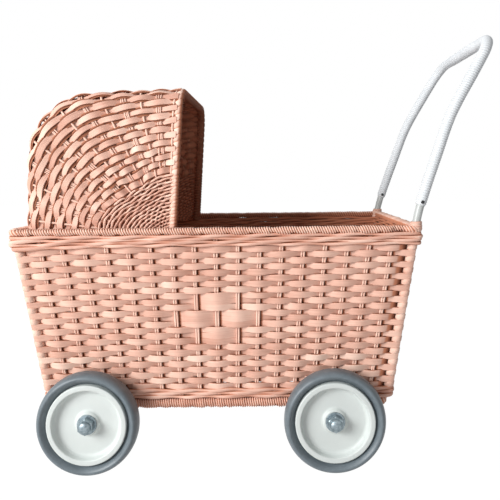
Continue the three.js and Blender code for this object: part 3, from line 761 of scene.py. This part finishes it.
# %% Hood surface
shell_low, shell_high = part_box("hood_shell")
HOOD_LENGTH, HOOD_LEAN, ROOF_RISE, BACK_RADIUS = 0.181, 0.011, 0.005, 0.086
BACK_SHOULDER, FRONT_SHOULDER = 0.015, 0.034
HOOD_INSET = 0.0026  # from the outline to the middle of the weave
hub = np.array([shell_low.x + HOOD_LENGTH, shell_low.z])
front_top = np.array([hub[0] + HOOD_LEAN, shell_high.z])
hood_half = shell_high.y
hood_sweep = math.pi - math.atan2(front_top[1] - hub[1], front_top[0] - hub[0])


def hood_reach(angle):
    """Distance from the corner to the outline: back wall, roof slope, or the arc of radius R between them."""
    ray = np.stack([-np.cos(angle), np.sin(angle)], -1)
    centre = np.array([shell_low.x + BACK_RADIUS, front_top[1] - ROOF_RISE - BACK_RADIUS])
    slope = ROOF_RISE / (front_top[0] - centre[0])
    with np.errstate(divide="ignore", invalid="ignore"):
        roof = (front_top[1] - hub[1] + slope * (hub[0] - front_top[0])) / (ray[..., 1] - slope * ray[..., 0])
        back = (shell_low.x - hub[0]) / ray[..., 0]
    roof = np.where(ray[..., 1] > 1e-6, roof, np.inf)
    back = np.where(ray[..., 0] < -1e-6, back, np.inf)
    reach = np.minimum(roof, back)
    hit = hub + ray * reach[..., None]
    away = hub - centre
    along = ray @ away
    arc = -along + np.sqrt(np.maximum(along ** 2 - away @ away + BACK_RADIUS ** 2, 0))
    return np.where((hit[..., 0] < centre[0]) & (hit[..., 1] > centre[1]), arc, reach)


def hood_shoulder(angle, inset):
    """Radius of the bend from the side to the roof, which opens evenly from back to front."""
    return BACK_SHOULDER + (FRONT_SHOULDER - BACK_SHOULDER) * angle / hood_sweep - inset


def hood_half_length(angle, inset=HOOD_INSET):
    """Length of a stake from the roof's middle to the corner: flat roof + quarter shoulder + side."""
    shoulder = hood_shoulder(angle, inset)
    return (hood_half - inset - shoulder) + shoulder * math.pi / 2 + (hood_reach(angle) - inset - shoulder)


def hood_point(angle, across, inset=HOOD_INSET):
    """A point of the hood at an angle up from the rim and a distance across from the roof's middle."""
    shoulder = hood_shoulder(angle, inset)
    flat = hood_half - inset - shoulder
    reach = hood_reach(angle) - inset
    a = np.abs(across)
    turn = np.clip((a - flat) / shoulder, 0, math.pi / 2)
    down = np.maximum(a - flat - shoulder * math.pi / 2, 0)
    rho = reach - shoulder + shoulder * np.cos(turn) - down
    y = np.sign(across) * (np.minimum(a, flat) + shoulder * np.sin(turn))
    return np.stack([hub[0] - rho * np.cos(angle), y, hub[1] + rho * np.sin(angle)], -1)


def hood_frame(angle, across):
    """Unit directions on the hood: along a course, across it, and outwards, from small steps."""
    h = 1e-4
    forward = unit(hood_point(angle + h * 5, across) - hood_point(angle - h * 5, across))
    over = unit(hood_point(angle, across + h) - hood_point(angle, across - h))
    out = unit(np.cross(forward, over))
    return forward, over, out


print("hood stakes sweep", round(math.degrees(hood_sweep), 1), "degrees")

# %% [markdown]
# ## Hood courses
# Close to the corner the stakes are only millimetres apart, so thin reed is woven there, 16 arcs
# of it, pulled so tight that they are nearly straight. Further out broad flat strip takes over
# and runs in one piece from the rim at the back to the arch in front, side and roof alike. The
# painted face of a strip is up to about 7 mm wide. Its bare brown back is wider than the
# distance to the next strip, so the inside is closed and brown lines show between the faces.
# Those lines are darkened further as painted shade, and so is each strip where it passes inside a stake.

# %% Courses over the hood
SPANS = 13
REED_ARCS, STRIPS_EACH_SIDE = 16, 24
OPEN_CORNER = 0.010  # length of a stake that is left bare where the stakes meet


def fan_edge(angle):
    """Radius of the reed fan: 90 mm along the rim, drawn in to 71 mm higher up, and 80 mm up the arch."""
    stake = angle / hood_sweep * SPANS
    return np.interp(stake, (0, 2, 3.7, 6, 9, 13), (0.090, 0.0885, 0.083, 0.0735, 0.071, 0.080))


def hood_courses(name, centre_line, swing, face, base, thick, outline, offset, loose, tone_spread,
                 replaces=(), slant=0.0, front=0.0):
    """Open strands from angle 0 to the sweep: S(angle, across) + outward * (+-swing), eased between stakes.

    centre_line(angle) is where a strand's middle lies across, and face and base are its half
    widths. A strand drifts sideways by up to slant as it passes each stake, and front > 0 keeps
    it outside for longer. outline[corner] = share of face, share of base, height in thicknesses,
    bareness, which past 1 is painted shade."""
    count, samples = len(offset), 8
    steps = SPANS * samples + 1

    def uneven(size):
        return wander(count, SPANS, steps, size, closes=False)

    angle = np.linspace(0, hood_sweep, steps)
    at = np.minimum(np.arange(steps) // samples, SPANS - 1)
    t = np.arange(steps) / samples - at
    sides = np.where((np.arange(SPANS + 1)[None] + offset[:, None]) % 2 == 0, 1.0, -1.0)
    e = (1 - np.cos(np.pi * t)) / 2
    level = np.clip(sides[:, at] * (1 - e) + sides[:, at + 1] * e + front, -1, 1)
    across = centre_line(angle)
    drift = slant * np.sin(np.pi * (at + t + offset[:, None]))
    across = across - np.sign(across) * drift + uneven(loose)
    grid = np.broadcast_to(angle, across.shape)
    forward, over, out = hood_frame(grid, across)
    twist = uneven(0.10)
    side_way = over * np.cos(twist)[..., None] + out * np.sin(twist)[..., None]
    up_way = out * np.cos(twist)[..., None] - over * np.sin(twist)[..., None]
    # the last 7% of each strand runs on round the arch
    tuck = np.clip((grid / hood_sweep - 0.93) / 0.07, 0, 1) ** 2 * 0.004
    spine = hood_point(grid, across) + out * (swing(grid, across) * level)[..., None]
    spine = spine + forward * tuck[..., None]
    vary = 1 + uneven(0.06) + chance.normal(0, 0.05, (count, 1)) + 0.04 * level
    sideways = (face(grid) * vary)[..., None] * outline[:, 0] + base(grid)[..., None] * outline[:, 1]
    section = together(sideways, thick * outline[:, 2])
    tone = uneven(tone_spread) + chance.normal(0, tone_spread / 2, (count, 1))
    # painted shade: a strand is a little darker where it passes inside a stake
    inner = outline[:, 3] + 0.15 * (1 - level[..., None]) / 2
    cane_piece(name, swept(spine, side_way, up_way, section), False, replaces,
               grain=lengths_along(spine) + 0.31 * np.arange(count)[:, None],
               tone=tone[..., None], inside=inner, sharp=STRIP_EDGE)


number = np.arange(-STRIPS_EACH_SIDE, STRIPS_EACH_SIDE + 1)


def strip_pitch(angle):
    """Distance between the middles of neighbouring strips at one stake."""
    return (hood_half_length(angle) - fan_edge(angle)) / (STRIPS_EACH_SIDE + 0.5)


# the columns of flat_strip, with a wider back; the bareness past 1, at the back corners and the edges, is
# painted shade
hood_strip = np.concatenate([[(0, -1, -0.8, 1.3), (0, 0, -1.1, 0.8), (0, 1, -0.8, 1.3)], flat_strip[2:]])
hood_courses("hood_strips", lambda angle: number[:, None] * strip_pitch(angle),
             lambda angle, across: 0.0020 + 0.0006 * np.sin(angle * 2) ** 2,
             lambda angle: np.minimum(0.0037, 0.42 * strip_pitch(angle)),
             lambda angle: 0.72 * strip_pitch(angle),
             thick=0.0018, outline=hood_strip, offset=number, loose=0.0008, tone_spread=0.13,
             replaces=["hood_shell"])

# the same columns for round reed; the bareness past 1 is painted shade between the reeds
reed_outline = np.array([
    (0, -1, -0.7, 1.5), (0, 0, -1.0, 0.8), (0, 1, -0.7, 1.5), (1, 0, -0.1, 1.9),
    (0.75, 0, 0.34, 0.2), (0, 0, 0.56, 0.0), (-0.75, 0, 0.34, 0.2), (-1, 0, -0.1, 1.9)])
arc = np.arange(REED_ARCS)


def reed_pitch(angle):
    """Distance between neighbouring reeds at one stake: the fan's radius less its open corner, shared out."""
    return (fan_edge(angle) - OPEN_CORNER) / REED_ARCS


def reed_line(angle):
    """Distance of each reed's middle from the roof's middle."""
    return hood_half_length(angle) - OPEN_CORNER - reed_pitch(angle) * (arc[:, None] + 0.5)


def reed_swing(angle, across):
    """How far a reed swings in and out: up to 1.1 mm, and less where the stakes crowd together."""
    from_corner = hood_half_length(angle) - np.abs(across)
    return np.minimum(0.0011, 0.17 * from_corner * hood_sweep / SPANS)


for hand, label in SIDES:
    hood_courses(f"hood_fan_{label}", lambda angle: hand * reed_line(angle), reed_swing,
                 lambda angle: 0.33 * reed_pitch(angle), lambda angle: 0.75 * reed_pitch(angle),
                 thick=0.0026, outline=reed_outline, offset=arc, loose=0.0003, tone_spread=0.15,
                 slant=0.0004, front=0.4)

# %% [markdown]
# ## Hood stakes and arch
# The stakes are thin reeds, in turn one thick one and three thin ones side by side. They
# crowd together at the corner. The front edge is a stout arch, wrapped in cane that hides the
# ends of the strips.

# %% Hood stakes
def hood_stakes():
    """Tubes at one angle each: hood_point(angle, across) plus a shift along the course."""
    angles, shifts, radii = [], [], []
    for k in range(SPANS + 1):
        shift, thickness = ([0.0], 0.0016) if k % 2 else ([-0.0023, 0.0, 0.0023], 0.00105)
        angles += [k] * len(shift)
        shifts += shift
        radii += [thickness] * len(shift)
    angle = np.array(angles) * hood_sweep / SPANS
    angle = np.clip(angle, 0.004, hood_sweep - 0.004)[:, None]
    steps = 150
    half = hood_half_length(angle)
    across = np.linspace(-1, 1, steps)[None] * (half - 0.009)
    grid = np.broadcast_to(angle, across.shape)
    forward, _, out = hood_frame(grid, across)
    from_corner = half - np.abs(across)
    crowd = np.clip(from_corner / 0.09, 0.25, 1)
    jog = wander(len(angle), 14, steps, 0.0005, closes=False)
    spine = hood_point(grid, across) + forward * ((np.array(shifts)[:, None] + jog) * crowd)[..., None]
    spine = spine - out * (0.0008 * (from_corner < fan_edge(angle)))[..., None]
    ring = round_section(1.0, 6)
    radius = np.array(radii)[:, None] * np.clip(from_corner / 0.1, 0.4, 1)
    points = swept(spine, forward, out, radius[..., None, None] * ring)
    cane_piece("hood_stakes", points, False, grain=lengths_along(spine),
               tone=0.14, inside=np.where(ring[:, 1] < -0.3, 0.8, 0.0))


hood_stakes()


# %% Wrapped arch
ARCH_RADIUS = 0.005


def arch_path():
    """The mouth's edge, brought in by the arch's radius and forward off the last stakes, from rim to rim."""
    half = hood_half_length(np.array(hood_sweep), ARCH_RADIUS)
    across = np.linspace(-1, 1, 1200) * (half - 0.002)
    points = hood_point(np.full(across.shape, hood_sweep), across, inset=ARCH_RADIUS)
    ahead = ARCH_RADIUS + 0.0003
    return points + np.array([math.sin(hood_sweep) * ahead, 0, math.cos(hood_sweep) * ahead]), across


arch, across = arch_path()
length = lengths_along(arch)
run = unit(np.gradient(arch, axis=0))
ahead = np.array([math.sin(hood_sweep), 0, math.cos(hood_sweep)])
# turned so that it points up on the roof and away from the middle at the sides
outside = np.cross(run, ahead)
outside *= np.sign(outside @ np.array([0, 0, 1.0]) + outside[:, 1] * arch[:, 1] * 100)[:, None]
turn = full_turn(16)
# each strip and each reed ends as one turn round the arch, so the turns keep their spacing
strip_end = STRIPS_EACH_SIDE + 0.5
at_front = strip_pitch(hood_sweep)
turns = np.abs(across) / at_front
past = np.abs(across) - strip_end * at_front
turns = np.where(past > 0, strip_end + past / reed_pitch(hood_sweep), turns)
turns = turns[:, None] + 0.5 + 0.25 * np.sin(turn)
wrap = turns % 1
# painted light: the turns are painted lighter than the strips, every other one more so
even = np.where(np.floor(turns) % 2 == 0, 0.42, 0.08)
bulge = ARCH_RADIUS - 0.0010 * np.abs(2 * wrap - 1) ** 4
# the back of the bundle reaches under the ends of the strips
long = np.where(np.sin(turn) < 0, 1.5, 1.0) * np.sin(turn)
wide = np.cos(turn) - 0.25 * (np.cos(turn) > 0) * np.clip(-np.sin(turn), 0, 1)
tube = arch[:, None] + bulge[..., None] * (wide[:, None] * outside[:, None] + long[:, None] * ahead)
# painted shade on the side of the arch that faces ahead, away from the lamp, up to the darkest brown; the
# inner side and the back are bare, with a little painted shade
bare_and_shaded = np.clip(0.55 + 1.3 * (0.9 * np.sin(turn) - 0.43 * np.cos(turn)), 0, 1.6)
bare_and_shaded = np.maximum(bare_and_shaded, 1.4 * ((np.cos(turn) < -0.1) | (np.sin(turn) < -0.8)))
cane_piece("hood_arch_wrap", tube[None], False, ["hood_arch"],
           grain=length[None], tone=even[None],
           inside=np.maximum(bare_and_shaded, 1.0 * (np.abs(2 * wrap - 1) > 0.9))[None])

# %% [markdown]
# ## The handle's line
# Two steel rods stand in the handle-end corners of the basket. Their tops are pinned inside one
# bent tube, which bows back, turns through two bends and makes the crossbar. The line below stays
# close to the frame's tube. It is a centripetal spline, which doesn't loop where the points are
# unevenly spaced.

# %% Handle line
def spline(points, per_span, closes=False):
    """Catmull-Rom through the points, knots spaced by the square root of their distances."""
    p = np.asarray(points, float)
    if closes:
        p = np.concatenate([p[-1:], p, p[:2]])
    else:
        p = np.concatenate([2 * p[:1] - p[1:2], p, 2 * p[-1:] - p[-2:-1]])
    d = np.sqrt(np.linalg.norm(np.diff(p, axis=0), axis=1))[:, None]
    a, b, c, e = p[:-3], p[1:-2], p[2:-1], p[3:]
    d0, d1, d2 = d[:-2], d[1:-1], d[2:]
    start = ((b - a) / d0 - (c - a) / (d0 + d1) + (c - b) / d1) * d1
    stop = ((c - b) / d1 - (e - b) / (d1 + d2) + (e - c) / d2) * d1
    t = (np.arange(per_span) / per_span)[None, :, None]
    curve = hermite(t, b[:, None], c[:, None], start[:, None], stop[:, None]).reshape(-1, p.shape[1])
    return curve if closes else np.concatenate([curve, p[-2:-1]])


def resample(path, distances):
    """Points of a polyline at given distances along it."""
    return read_at(distances, lengths_along(path), path)


bar = middle_of("handle_grip") * (1, 0, 1)
ARM_HALF, BEND = 0.113, 0.035
rim_point, foot_point = (raised(stake_at(np.array(z))[HANDLE_CORNERS[0]], z)
                         for z in (rim_z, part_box("base_wale")[0].z))
# share of the way up an arm, and how far back it has bowed by then
bow = np.array([(0.095, 0.055), (0.205, 0.138), (0.365, 0.270), (0.58, 0.456), (0.8, 0.735)])
arm = np.stack([rim_point[0] + (bar[0] - rim_point[0]) * bow[:, 1],
                rim_point[1] + (-ARM_HALF - rim_point[1]) * bow[:, 0],
                rim_z + (bar[2] - rim_z) * bow[:, 0]], -1)
rise = unit(np.array([bar[0] - arm[-1, 0], 0, bar[2] - arm[-1, 2]]))
turns = np.linspace(0, np.pi / 2, 5)[:, None]
bend_foot = bar + (0, -ARM_HALF, 0) - rise * BEND
bend = bend_foot + rise * BEND * np.sin(turns) + np.array([0, BEND, 0]) * (1 - np.cos(turns))
straight = bar + np.array([[0.9], [0.6], [0.3]]) * (0, bend[-1, 1], 0)
post = [foot_point, foot_point * 0.5 + rim_point * 0.5, foot_point * 0.1 + rim_point * 0.9, rim_point]
halfway = np.concatenate([post, arm, bend, straight])
handle_line = spline(np.concatenate([halfway, (halfway * (1, -1, 1))[::-1]]), 40)
handle_length = lengths_along(handle_line)[-1]
tube_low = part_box("handle_tube")[0].z
first_half = handle_line[: len(handle_line) // 2]
tube_start = np.interp(tube_low + 0.0015, first_half[:, 2], lengths_along(first_half))
print("handle line", round(1000 * handle_length), "mm, tube from", round(1000 * tube_start), "mm")

# %% [markdown]
# ## Wrapped handle
# The tube is bound from end to end with a glossy white strip of 3 mm, laid turn beside turn, and
# the crossbar carries a thicker roll of the same. As on the borders, one closed surface swells
# with each turn. Below the binding the bare rods show.

# %% Handle materials
def speckled(name, light, dark, roughness, size, bump=0.1, groove=None, **values):
    """A plain finish with faint clouds of colour and a fine bump. Grooves can be given a darker colour, as
    painted shade.
    """
    made, tree, shader = new_material(name, Roughness=roughness, **values)
    place = add_node(tree, "ShaderNodeTexCoord").outputs["Object"]
    cloud = noise(tree, place, size, Detail=4.0, Roughness=0.6)
    colour = colour_ramp(tree, cloud, (0.35, dark), (0.65, light))
    if groove:
        colour = mix_colour(tree, carried(tree, "groove"), colour, linear(groove))
    tree.links.new(colour, shader.inputs["Base Color"])
    roughen(tree, shader, noise(tree, place, 0.0012, Detail=2.0), bump, 0.0002)
    return made


# the grooves of the binding are painted grey, as painted shade
glossy_white_binding = speckled("glossy_white_vinyl_binding", "#ebeef1", "#dfe3e6", 0.4, 0.03,
                                groove="#c9cccc", **{"Specular IOR Level": 0.2})
satin_grey_steel = speckled("satin_grey_painted_steel", "#c6c9c7", "#b3b6b3", 0.34, 0.02)
black_steel = speckled("blackened_steel", "#202022", "#161618", 0.4, 0.004)

# %% Binding, roll, rods and rivets
def round_frame(path):
    """Unit normals along an open path: the fixed way nearest to upright across it, and its partner."""
    run = unit(np.gradient(path, axis=0))
    side_way = unit(np.cross(run, np.array([rise[2], 0, -rise[0]])))
    return side_way, np.cross(run, side_way)


def bound_tube(name, start, stop, pitch_length, radius_at, relief, shade, replaces):
    """Radius r(s) less relief * |1 - 2 frac(s / pitch - angle / 2 pi)|^3 round the handle line."""
    per_turn, sides = 5, 18
    count = int((stop - start) / pitch_length * per_turn) + 1
    s = np.linspace(start, stop, count)
    path = resample(handle_line, s)
    side_way, partner = round_frame(path)
    turn = full_turn(sides)
    phase = np.abs(2 * ((s[:, None] / pitch_length - turn / (2 * np.pi)) % 1) - 1)
    radius = radius_at(s)[:, None] - relief * phase ** 3
    points = path[:, None] + radius[..., None] * (np.cos(turn)[:, None] * side_way[:, None]
                                                  + np.sin(turn)[:, None] * partner[:, None])
    # painted shade in the grooves between the turns, as much as `shade` gives
    strand_piece(name, points[None], False, glossy_white_binding, "wrap", replaces,
                 groove=shade * phase[None] ** 3)


def binding_radius(s):
    """Rises from 5.4 mm by 1.4 mm over the first 4 mm from either end, and by 0.4 mm over 200 mm."""
    from_end = np.minimum(s - tube_start, handle_length - tube_start - s)
    return 0.0054 + 0.0014 * np.clip(from_end / 0.004, 0, 1) ** 0.5 + 0.0004 * np.clip(from_end / 0.2, 0, 1)


def roll_radius(s):
    """7.8 mm, less 0.8 mm at the very ends, which it loses over 22 mm."""
    return 0.0078 - 0.0008 * np.clip(1 - (grip_half - np.abs(s - mid)) / 0.022, 0, 1) ** 1.5


grip_half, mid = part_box("handle_grip")[1].y, handle_length / 2
bound_tube("handle_binding", tube_start, handle_length - tube_start, 0.0031, binding_radius,
           relief=0.0007, shade=1.0, replaces=["handle_tube"])
bound_tube("handle_roll", mid - grip_half, mid + grip_half, 0.0024, roll_radius,
           relief=0.0003, shade=0.3, replaces=["handle_grip"])
for hand, label in SIDES:  # each rod ends 12 mm inside the tube
    path = resample(handle_line, np.linspace(0.0005, tube_start + 0.012, 60)) * (1, -hand, 1)
    points = swept(path, *round_frame(path), round_section(ROD_RADIUS, 20))
    strand_piece(f"rod_{label}", points[None], False, satin_grey_steel, "rod", [f"handle_rod_{label}"])

# %% [markdown]
# ## Pins and bindings
# A black domed pin goes through each end of the tube and the rod inside it. Where the rods come
# out of the rim, reed is bound round each of them, ring over ring: down the corner of the
# border, and two smaller rings above it that close up to the rod.

# %% Pins and bindings
head_wide, head_high, pin_shank = 0.0022, 0.0012, 0.0016
for hand, label in SIDES:
    pin_low, pin_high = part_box(f"handle_rivet_{label}")
    half = (pin_high.y - pin_low.y) / 2
    neck = half - head_high
    t = np.linspace(0, np.pi / 2, 7)[:, None]
    dome = np.concatenate([head_wide * np.cos(t) + 0.0002 * np.sin(t), neck + head_high * np.sin(t)], -1)
    side_line = np.concatenate([dome[::-1], [(pin_shank, neck), (pin_shank, -neck)], dome * (1, -1)])
    turn = full_turn(24)
    r, out = side_line[:, :1], side_line[:, 1:]
    pin = together(np.cos(turn) * r, out, np.sin(turn) * r)
    strand_piece(f"domed_pin_{label}", (middle_of(f"handle_rivet_{label}") + pin)[None], False, black_steel,
                 "rivet", [f"handle_rivet_{label}"], sharp=40)

border_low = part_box("rim_border")[0].z
ring_z = np.append(np.linspace(border_low + 0.0016, rim_z - 0.0004, 5), rim_z + np.array([0.0014, 0.0032]))
ring_reach = np.array([0.0071, 0.0073, 0.0073, 0.0072, 0.0068, 0.0064, 0.0059])
turn = full_turn(36)
section = round_section(0.00125, 8)
rings = []
for hand in (-1, 1):
    centre = np.interp(ring_z, first_half[:, 2], lengths_along(first_half))
    centre = resample(handle_line, centre) * (1, -hand, 1)
    reach = (ring_reach[:, None] + wander(len(ring_z), 7, 36, 0.0002))[..., None] + section[:, 0]
    rise_z = ring_z[:, None] + wander(len(ring_z), 5, 36, 0.0003)
    rings.append(together(centre[:, :1, None] + np.cos(turn)[:, None] * reach,
                          centre[:, 1:2, None] + np.sin(turn)[:, None] * reach,
                          rise_z[..., None] + section[:, 1]))
rings = np.concatenate(rings)
cane_piece("rod_bindings", rings, True,
           grain=np.broadcast_to(turn * 0.006, (len(rings), 36)),
           tone=chance.normal(0.05, 0.1, (len(rings), 1, 1)),
           inside=np.where(np.abs(section[:, 1]) > 0.001, 0.5, 0.0))

# %% [markdown]
# ## Woven floor
# The basket's floor is woven flat: pairs of rods lie across it, and strips run along it, over
# one pair and under the next.

# %% Woven floor
floor_low, floor_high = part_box("basket_floor")
floor_mid = middle_of("basket_floor")[2]
rod_x = np.linspace(floor_low.x, floor_high.x, 20)[1:-1]
pair_x = np.concatenate([rod_x - 0.0014, rod_x + 0.0014])
y_line = np.linspace(floor_low.y + 0.001, floor_high.y - 0.001, 30)
bowed_x = pair_x[:, None] + wander(len(pair_x), 5, 30, 0.0003, closes=False)
path = together(bowed_x, y_line, floor_mid)
rods = swept(path, np.array([1, 0, 0]), np.array([0, 0, 1]), round_section(0.0012, 8))
cane_piece("floor_rods", rods, False, grain=lengths_along(path), tone=0.1, inside=0.45)
STRIPS = 26
strip_y = (np.arange(STRIPS) + 0.5) / STRIPS * (floor_high.y - floor_low.y - 0.002) + floor_low.y + 0.001
x_line = np.linspace(floor_low.x + 0.001, floor_high.x - 0.001, 19 * 8 + 1)
swing = np.cos(np.pi * (x_line - rod_x[0]) / (rod_x[1] - rod_x[0]) + np.pi * (np.arange(STRIPS)[:, None] % 2))
z_line = floor_mid + 0.0020 * swing
half_strip = (floor_high.y - floor_low.y) / STRIPS / 2
lens = np.array([(-1, 0), (-0.8, -1), (0.8, -1), (1, 0), (0.8, 1), (-0.8, 1)]) * (0.94 * half_strip, 0.0007)
points = together(x_line[:, None], strip_y[:, None, None] + lens[:, 0], z_line[..., None] + lens[:, 1])
cane_piece("floor_strips", points, False, ["basket_floor"],
           grain=np.broadcast_to(x_line, (STRIPS, len(x_line))) + np.arange(STRIPS)[:, None] * 0.3,
           tone=wander(STRIPS, 20, len(x_line), 0.1, closes=False)[..., None], inside=0.45)

# %% [markdown]
# ## Turned pieces
# Tyres, hubs, washers and axles are all made on a lathe or in a round mould, so each is a closed
# outline spun about the axle. Sharp outlines have their corners rounded first by a small
# quadratic curve, because an edge that is perfectly sharp catches no light. A domed nut is spun
# too, but nowhere wider than the hexagon round it.

# %% Turned pieces
def eased(outline, radius):
    """Closed outline with each corner C replaced by (1-t)^2 A + 2t(1-t) C + t^2 B, A and B `radius` away."""
    c = np.asarray(outline, float)
    before, after = np.roll(c, 1, 0) - c, np.roll(c, -1, 0) - c
    lb, la = np.linalg.norm(before, axis=1, keepdims=True), np.linalg.norm(after, axis=1, keepdims=True)
    a = c + before / lb * np.minimum(radius, lb * 0.45)
    b = c + after / la * np.minimum(radius, la * 0.45)
    t = np.linspace(0, 1, 5)[None, :, None]
    return ((1 - t) ** 2 * a[:, None] + 2 * t * (1 - t) * c[:, None] + t ** 2 * b[:, None]).reshape(-1, 2)


def turned_piece(name, outline, centre, hand, finish, slot, node, body, sides, sharp=50):
    """(radius, distance out) spun about the axle: x = r cos, z = r sin, y = hand * out."""
    turn = full_turn(sides)[:, None]
    r, out = outline.T
    points = together(centre[0] + np.cos(turn) * r, hand * out, centre[2] + np.sin(turn) * r)
    strand_piece(name, points[None], True, finish, slot, [node], body, sharp=sharp)


def millimetres(*pairs):
    """Outline points in metres."""
    return np.array(pairs) / 1000


# %% [markdown]
# ## Wheel materials
# The tyre is solid blue-grey rubber, matt with a soft sheen. The hub is moulded white plastic,
# smooth and satin. The axle, nuts and washers are steel with a thin coat of zinc, whose crystals
# give it a faint mottle.

# %% Wheel materials
grey_rubber = speckled("moulded_grey_rubber", "#6d777d", "#616b71", 0.42, 0.012, bump=0.2)
white_plastic = speckled("moulded_white_plastic", "#d4dad7", "#ced4d1", 0.45, 0.05, bump=0.03)
zinc_plate = speckled("zinc_plated_steel", "#a3b0b6", "#78858b", 0.45, 0.0035, bump=0.15, Metallic=0.85)
planed_pine = speckled("planed_pine", "#cfa981", "#b98d62", 0.7, 0.02, bump=0.25)

# %% Wheels
side_wall = [(49.3, 3.6), (50.6, 4.6), (52.4, 7.4), (54.4, 10.0),
             (56.8, 11.6), (59.0, 10.9), (61.2, 8.0), (62.4, 4.2)]
far_wall = [(r, -a) for r, a in side_wall[::-1]]
tyre_outline = spline(millimetres(*side_wall, *far_wall, (49.3, 0)), 4, closes=True)
hub_outline = eased(millimetres(
    (6.2, 5), (12.8, 5), (14.0, 4.0), (15.2, 1.9), (17.2, 1.2), (37.2, 1.2),  # outer end of the boss, web
    (39.4, 1.9), (41.2, 4.4), (42.4, 9.2), (43.4, 10), (48.2, 10), (49, 9.2),  # outer side of the rim
    (49, -10), (43, -10), (41, -2.4), (15, -2.4), (13.5, -10.5), (6.2, -10.5)), 0.0008)  # inner side
washer_outline = eased(millimetres((6.3, 0), (12, 0), (12, 2), (6.3, 2)), 0.0003)
NUT_HALF, DOME_START, DOME_RADIUS, DOME_HIGH = 0.0089, 0.0069, 0.0076, 0.0050


def cap_nut(name, centre, start, hand, node):
    """r(turn, out) = min(hexagon(turn), profile(out)): a chamfered hexagon that becomes a dome."""
    turn = full_turn(96)
    hexagon = NUT_HALF / np.cos((turn + np.pi / 6) % (np.pi / 3) - np.pi / 6)
    t = np.linspace(0, 1, 11) * 1.52  # nearly a quarter turn, which leaves a small flat on top
    dome = np.stack([DOME_RADIUS * np.cos(t) ** 0.8, DOME_START + DOME_HIGH * np.sin(t)], -1)
    sides = millimetres((9.6, 0), (10.3, 0.5), (10.3, 6.0), (8.9, 6.9), (7.6, 6.9))
    profile = np.concatenate([sides, dome])
    r = np.minimum(hexagon, profile[:, :1])
    out = hand * (start + profile[:, 1:])
    points = together(centre[0] + r * np.cos(turn), out, centre[2] + r * np.sin(turn))
    strand_piece(name, points[None], False, zinc_plate, "zinc", [node], sharp=35)


def seat(name):
    """Distance from the middle plane to the nearer face of a frame node."""
    low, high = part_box(name)
    return min(abs(low.y), abs(high.y))


for end in ("head", "foot"):
    for hand, label in SIDES:
        corner = f"{end}_{label}"
        body = f"wheel_{corner}"
        centre, tyre = middle_of(f"hub_{corner}"), middle_of(f"tyre_{corner}")
        centre[0] = tyre[0]
        track = (0, abs(tyre[1]))
        turned_piece(f"rubber_tyre_{corner}", tyre_outline + track, centre, hand, grey_rubber, "tyre",
                     f"tyre_{corner}", body, 120, None)
        turned_piece(f"moulded_hub_{corner}", hub_outline + track, centre, hand, white_plastic, "hub",
                     f"hub_{corner}", body, 120, 60)
        for place in ("inner", "outer"):
            washer = f"{place}_washer_{corner}"
            turned_piece(f"{place}_zinc_washer_{corner}", washer_outline + (0, seat(washer)), centre,
                         hand, zinc_plate, "zinc", washer, "pram", 48)
        nut = f"cap_nut_{corner}"
        cap_nut(f"domed_nut_{corner}", centre, seat(nut), hand, nut)
        for kept in ("lock_nut", "axle_clip"):
            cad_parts[f"{kept}_{corner}"].data.materials[0] = zinc_plate
    low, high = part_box(f"axle_{end}")
    half = 1000 * (high.y - low.y) / 2
    axle_outline = eased(millimetres((0.4, -half), (6, -half), (6, half), (0.4, half)), 0.0006)
    turned_piece(f"steel_axle_{end}", axle_outline, centre, 1, zinc_plate, "zinc", f"axle_{end}", "pram", 40)
    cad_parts[f"batten_{end}"].data.materials[0] = planed_pine
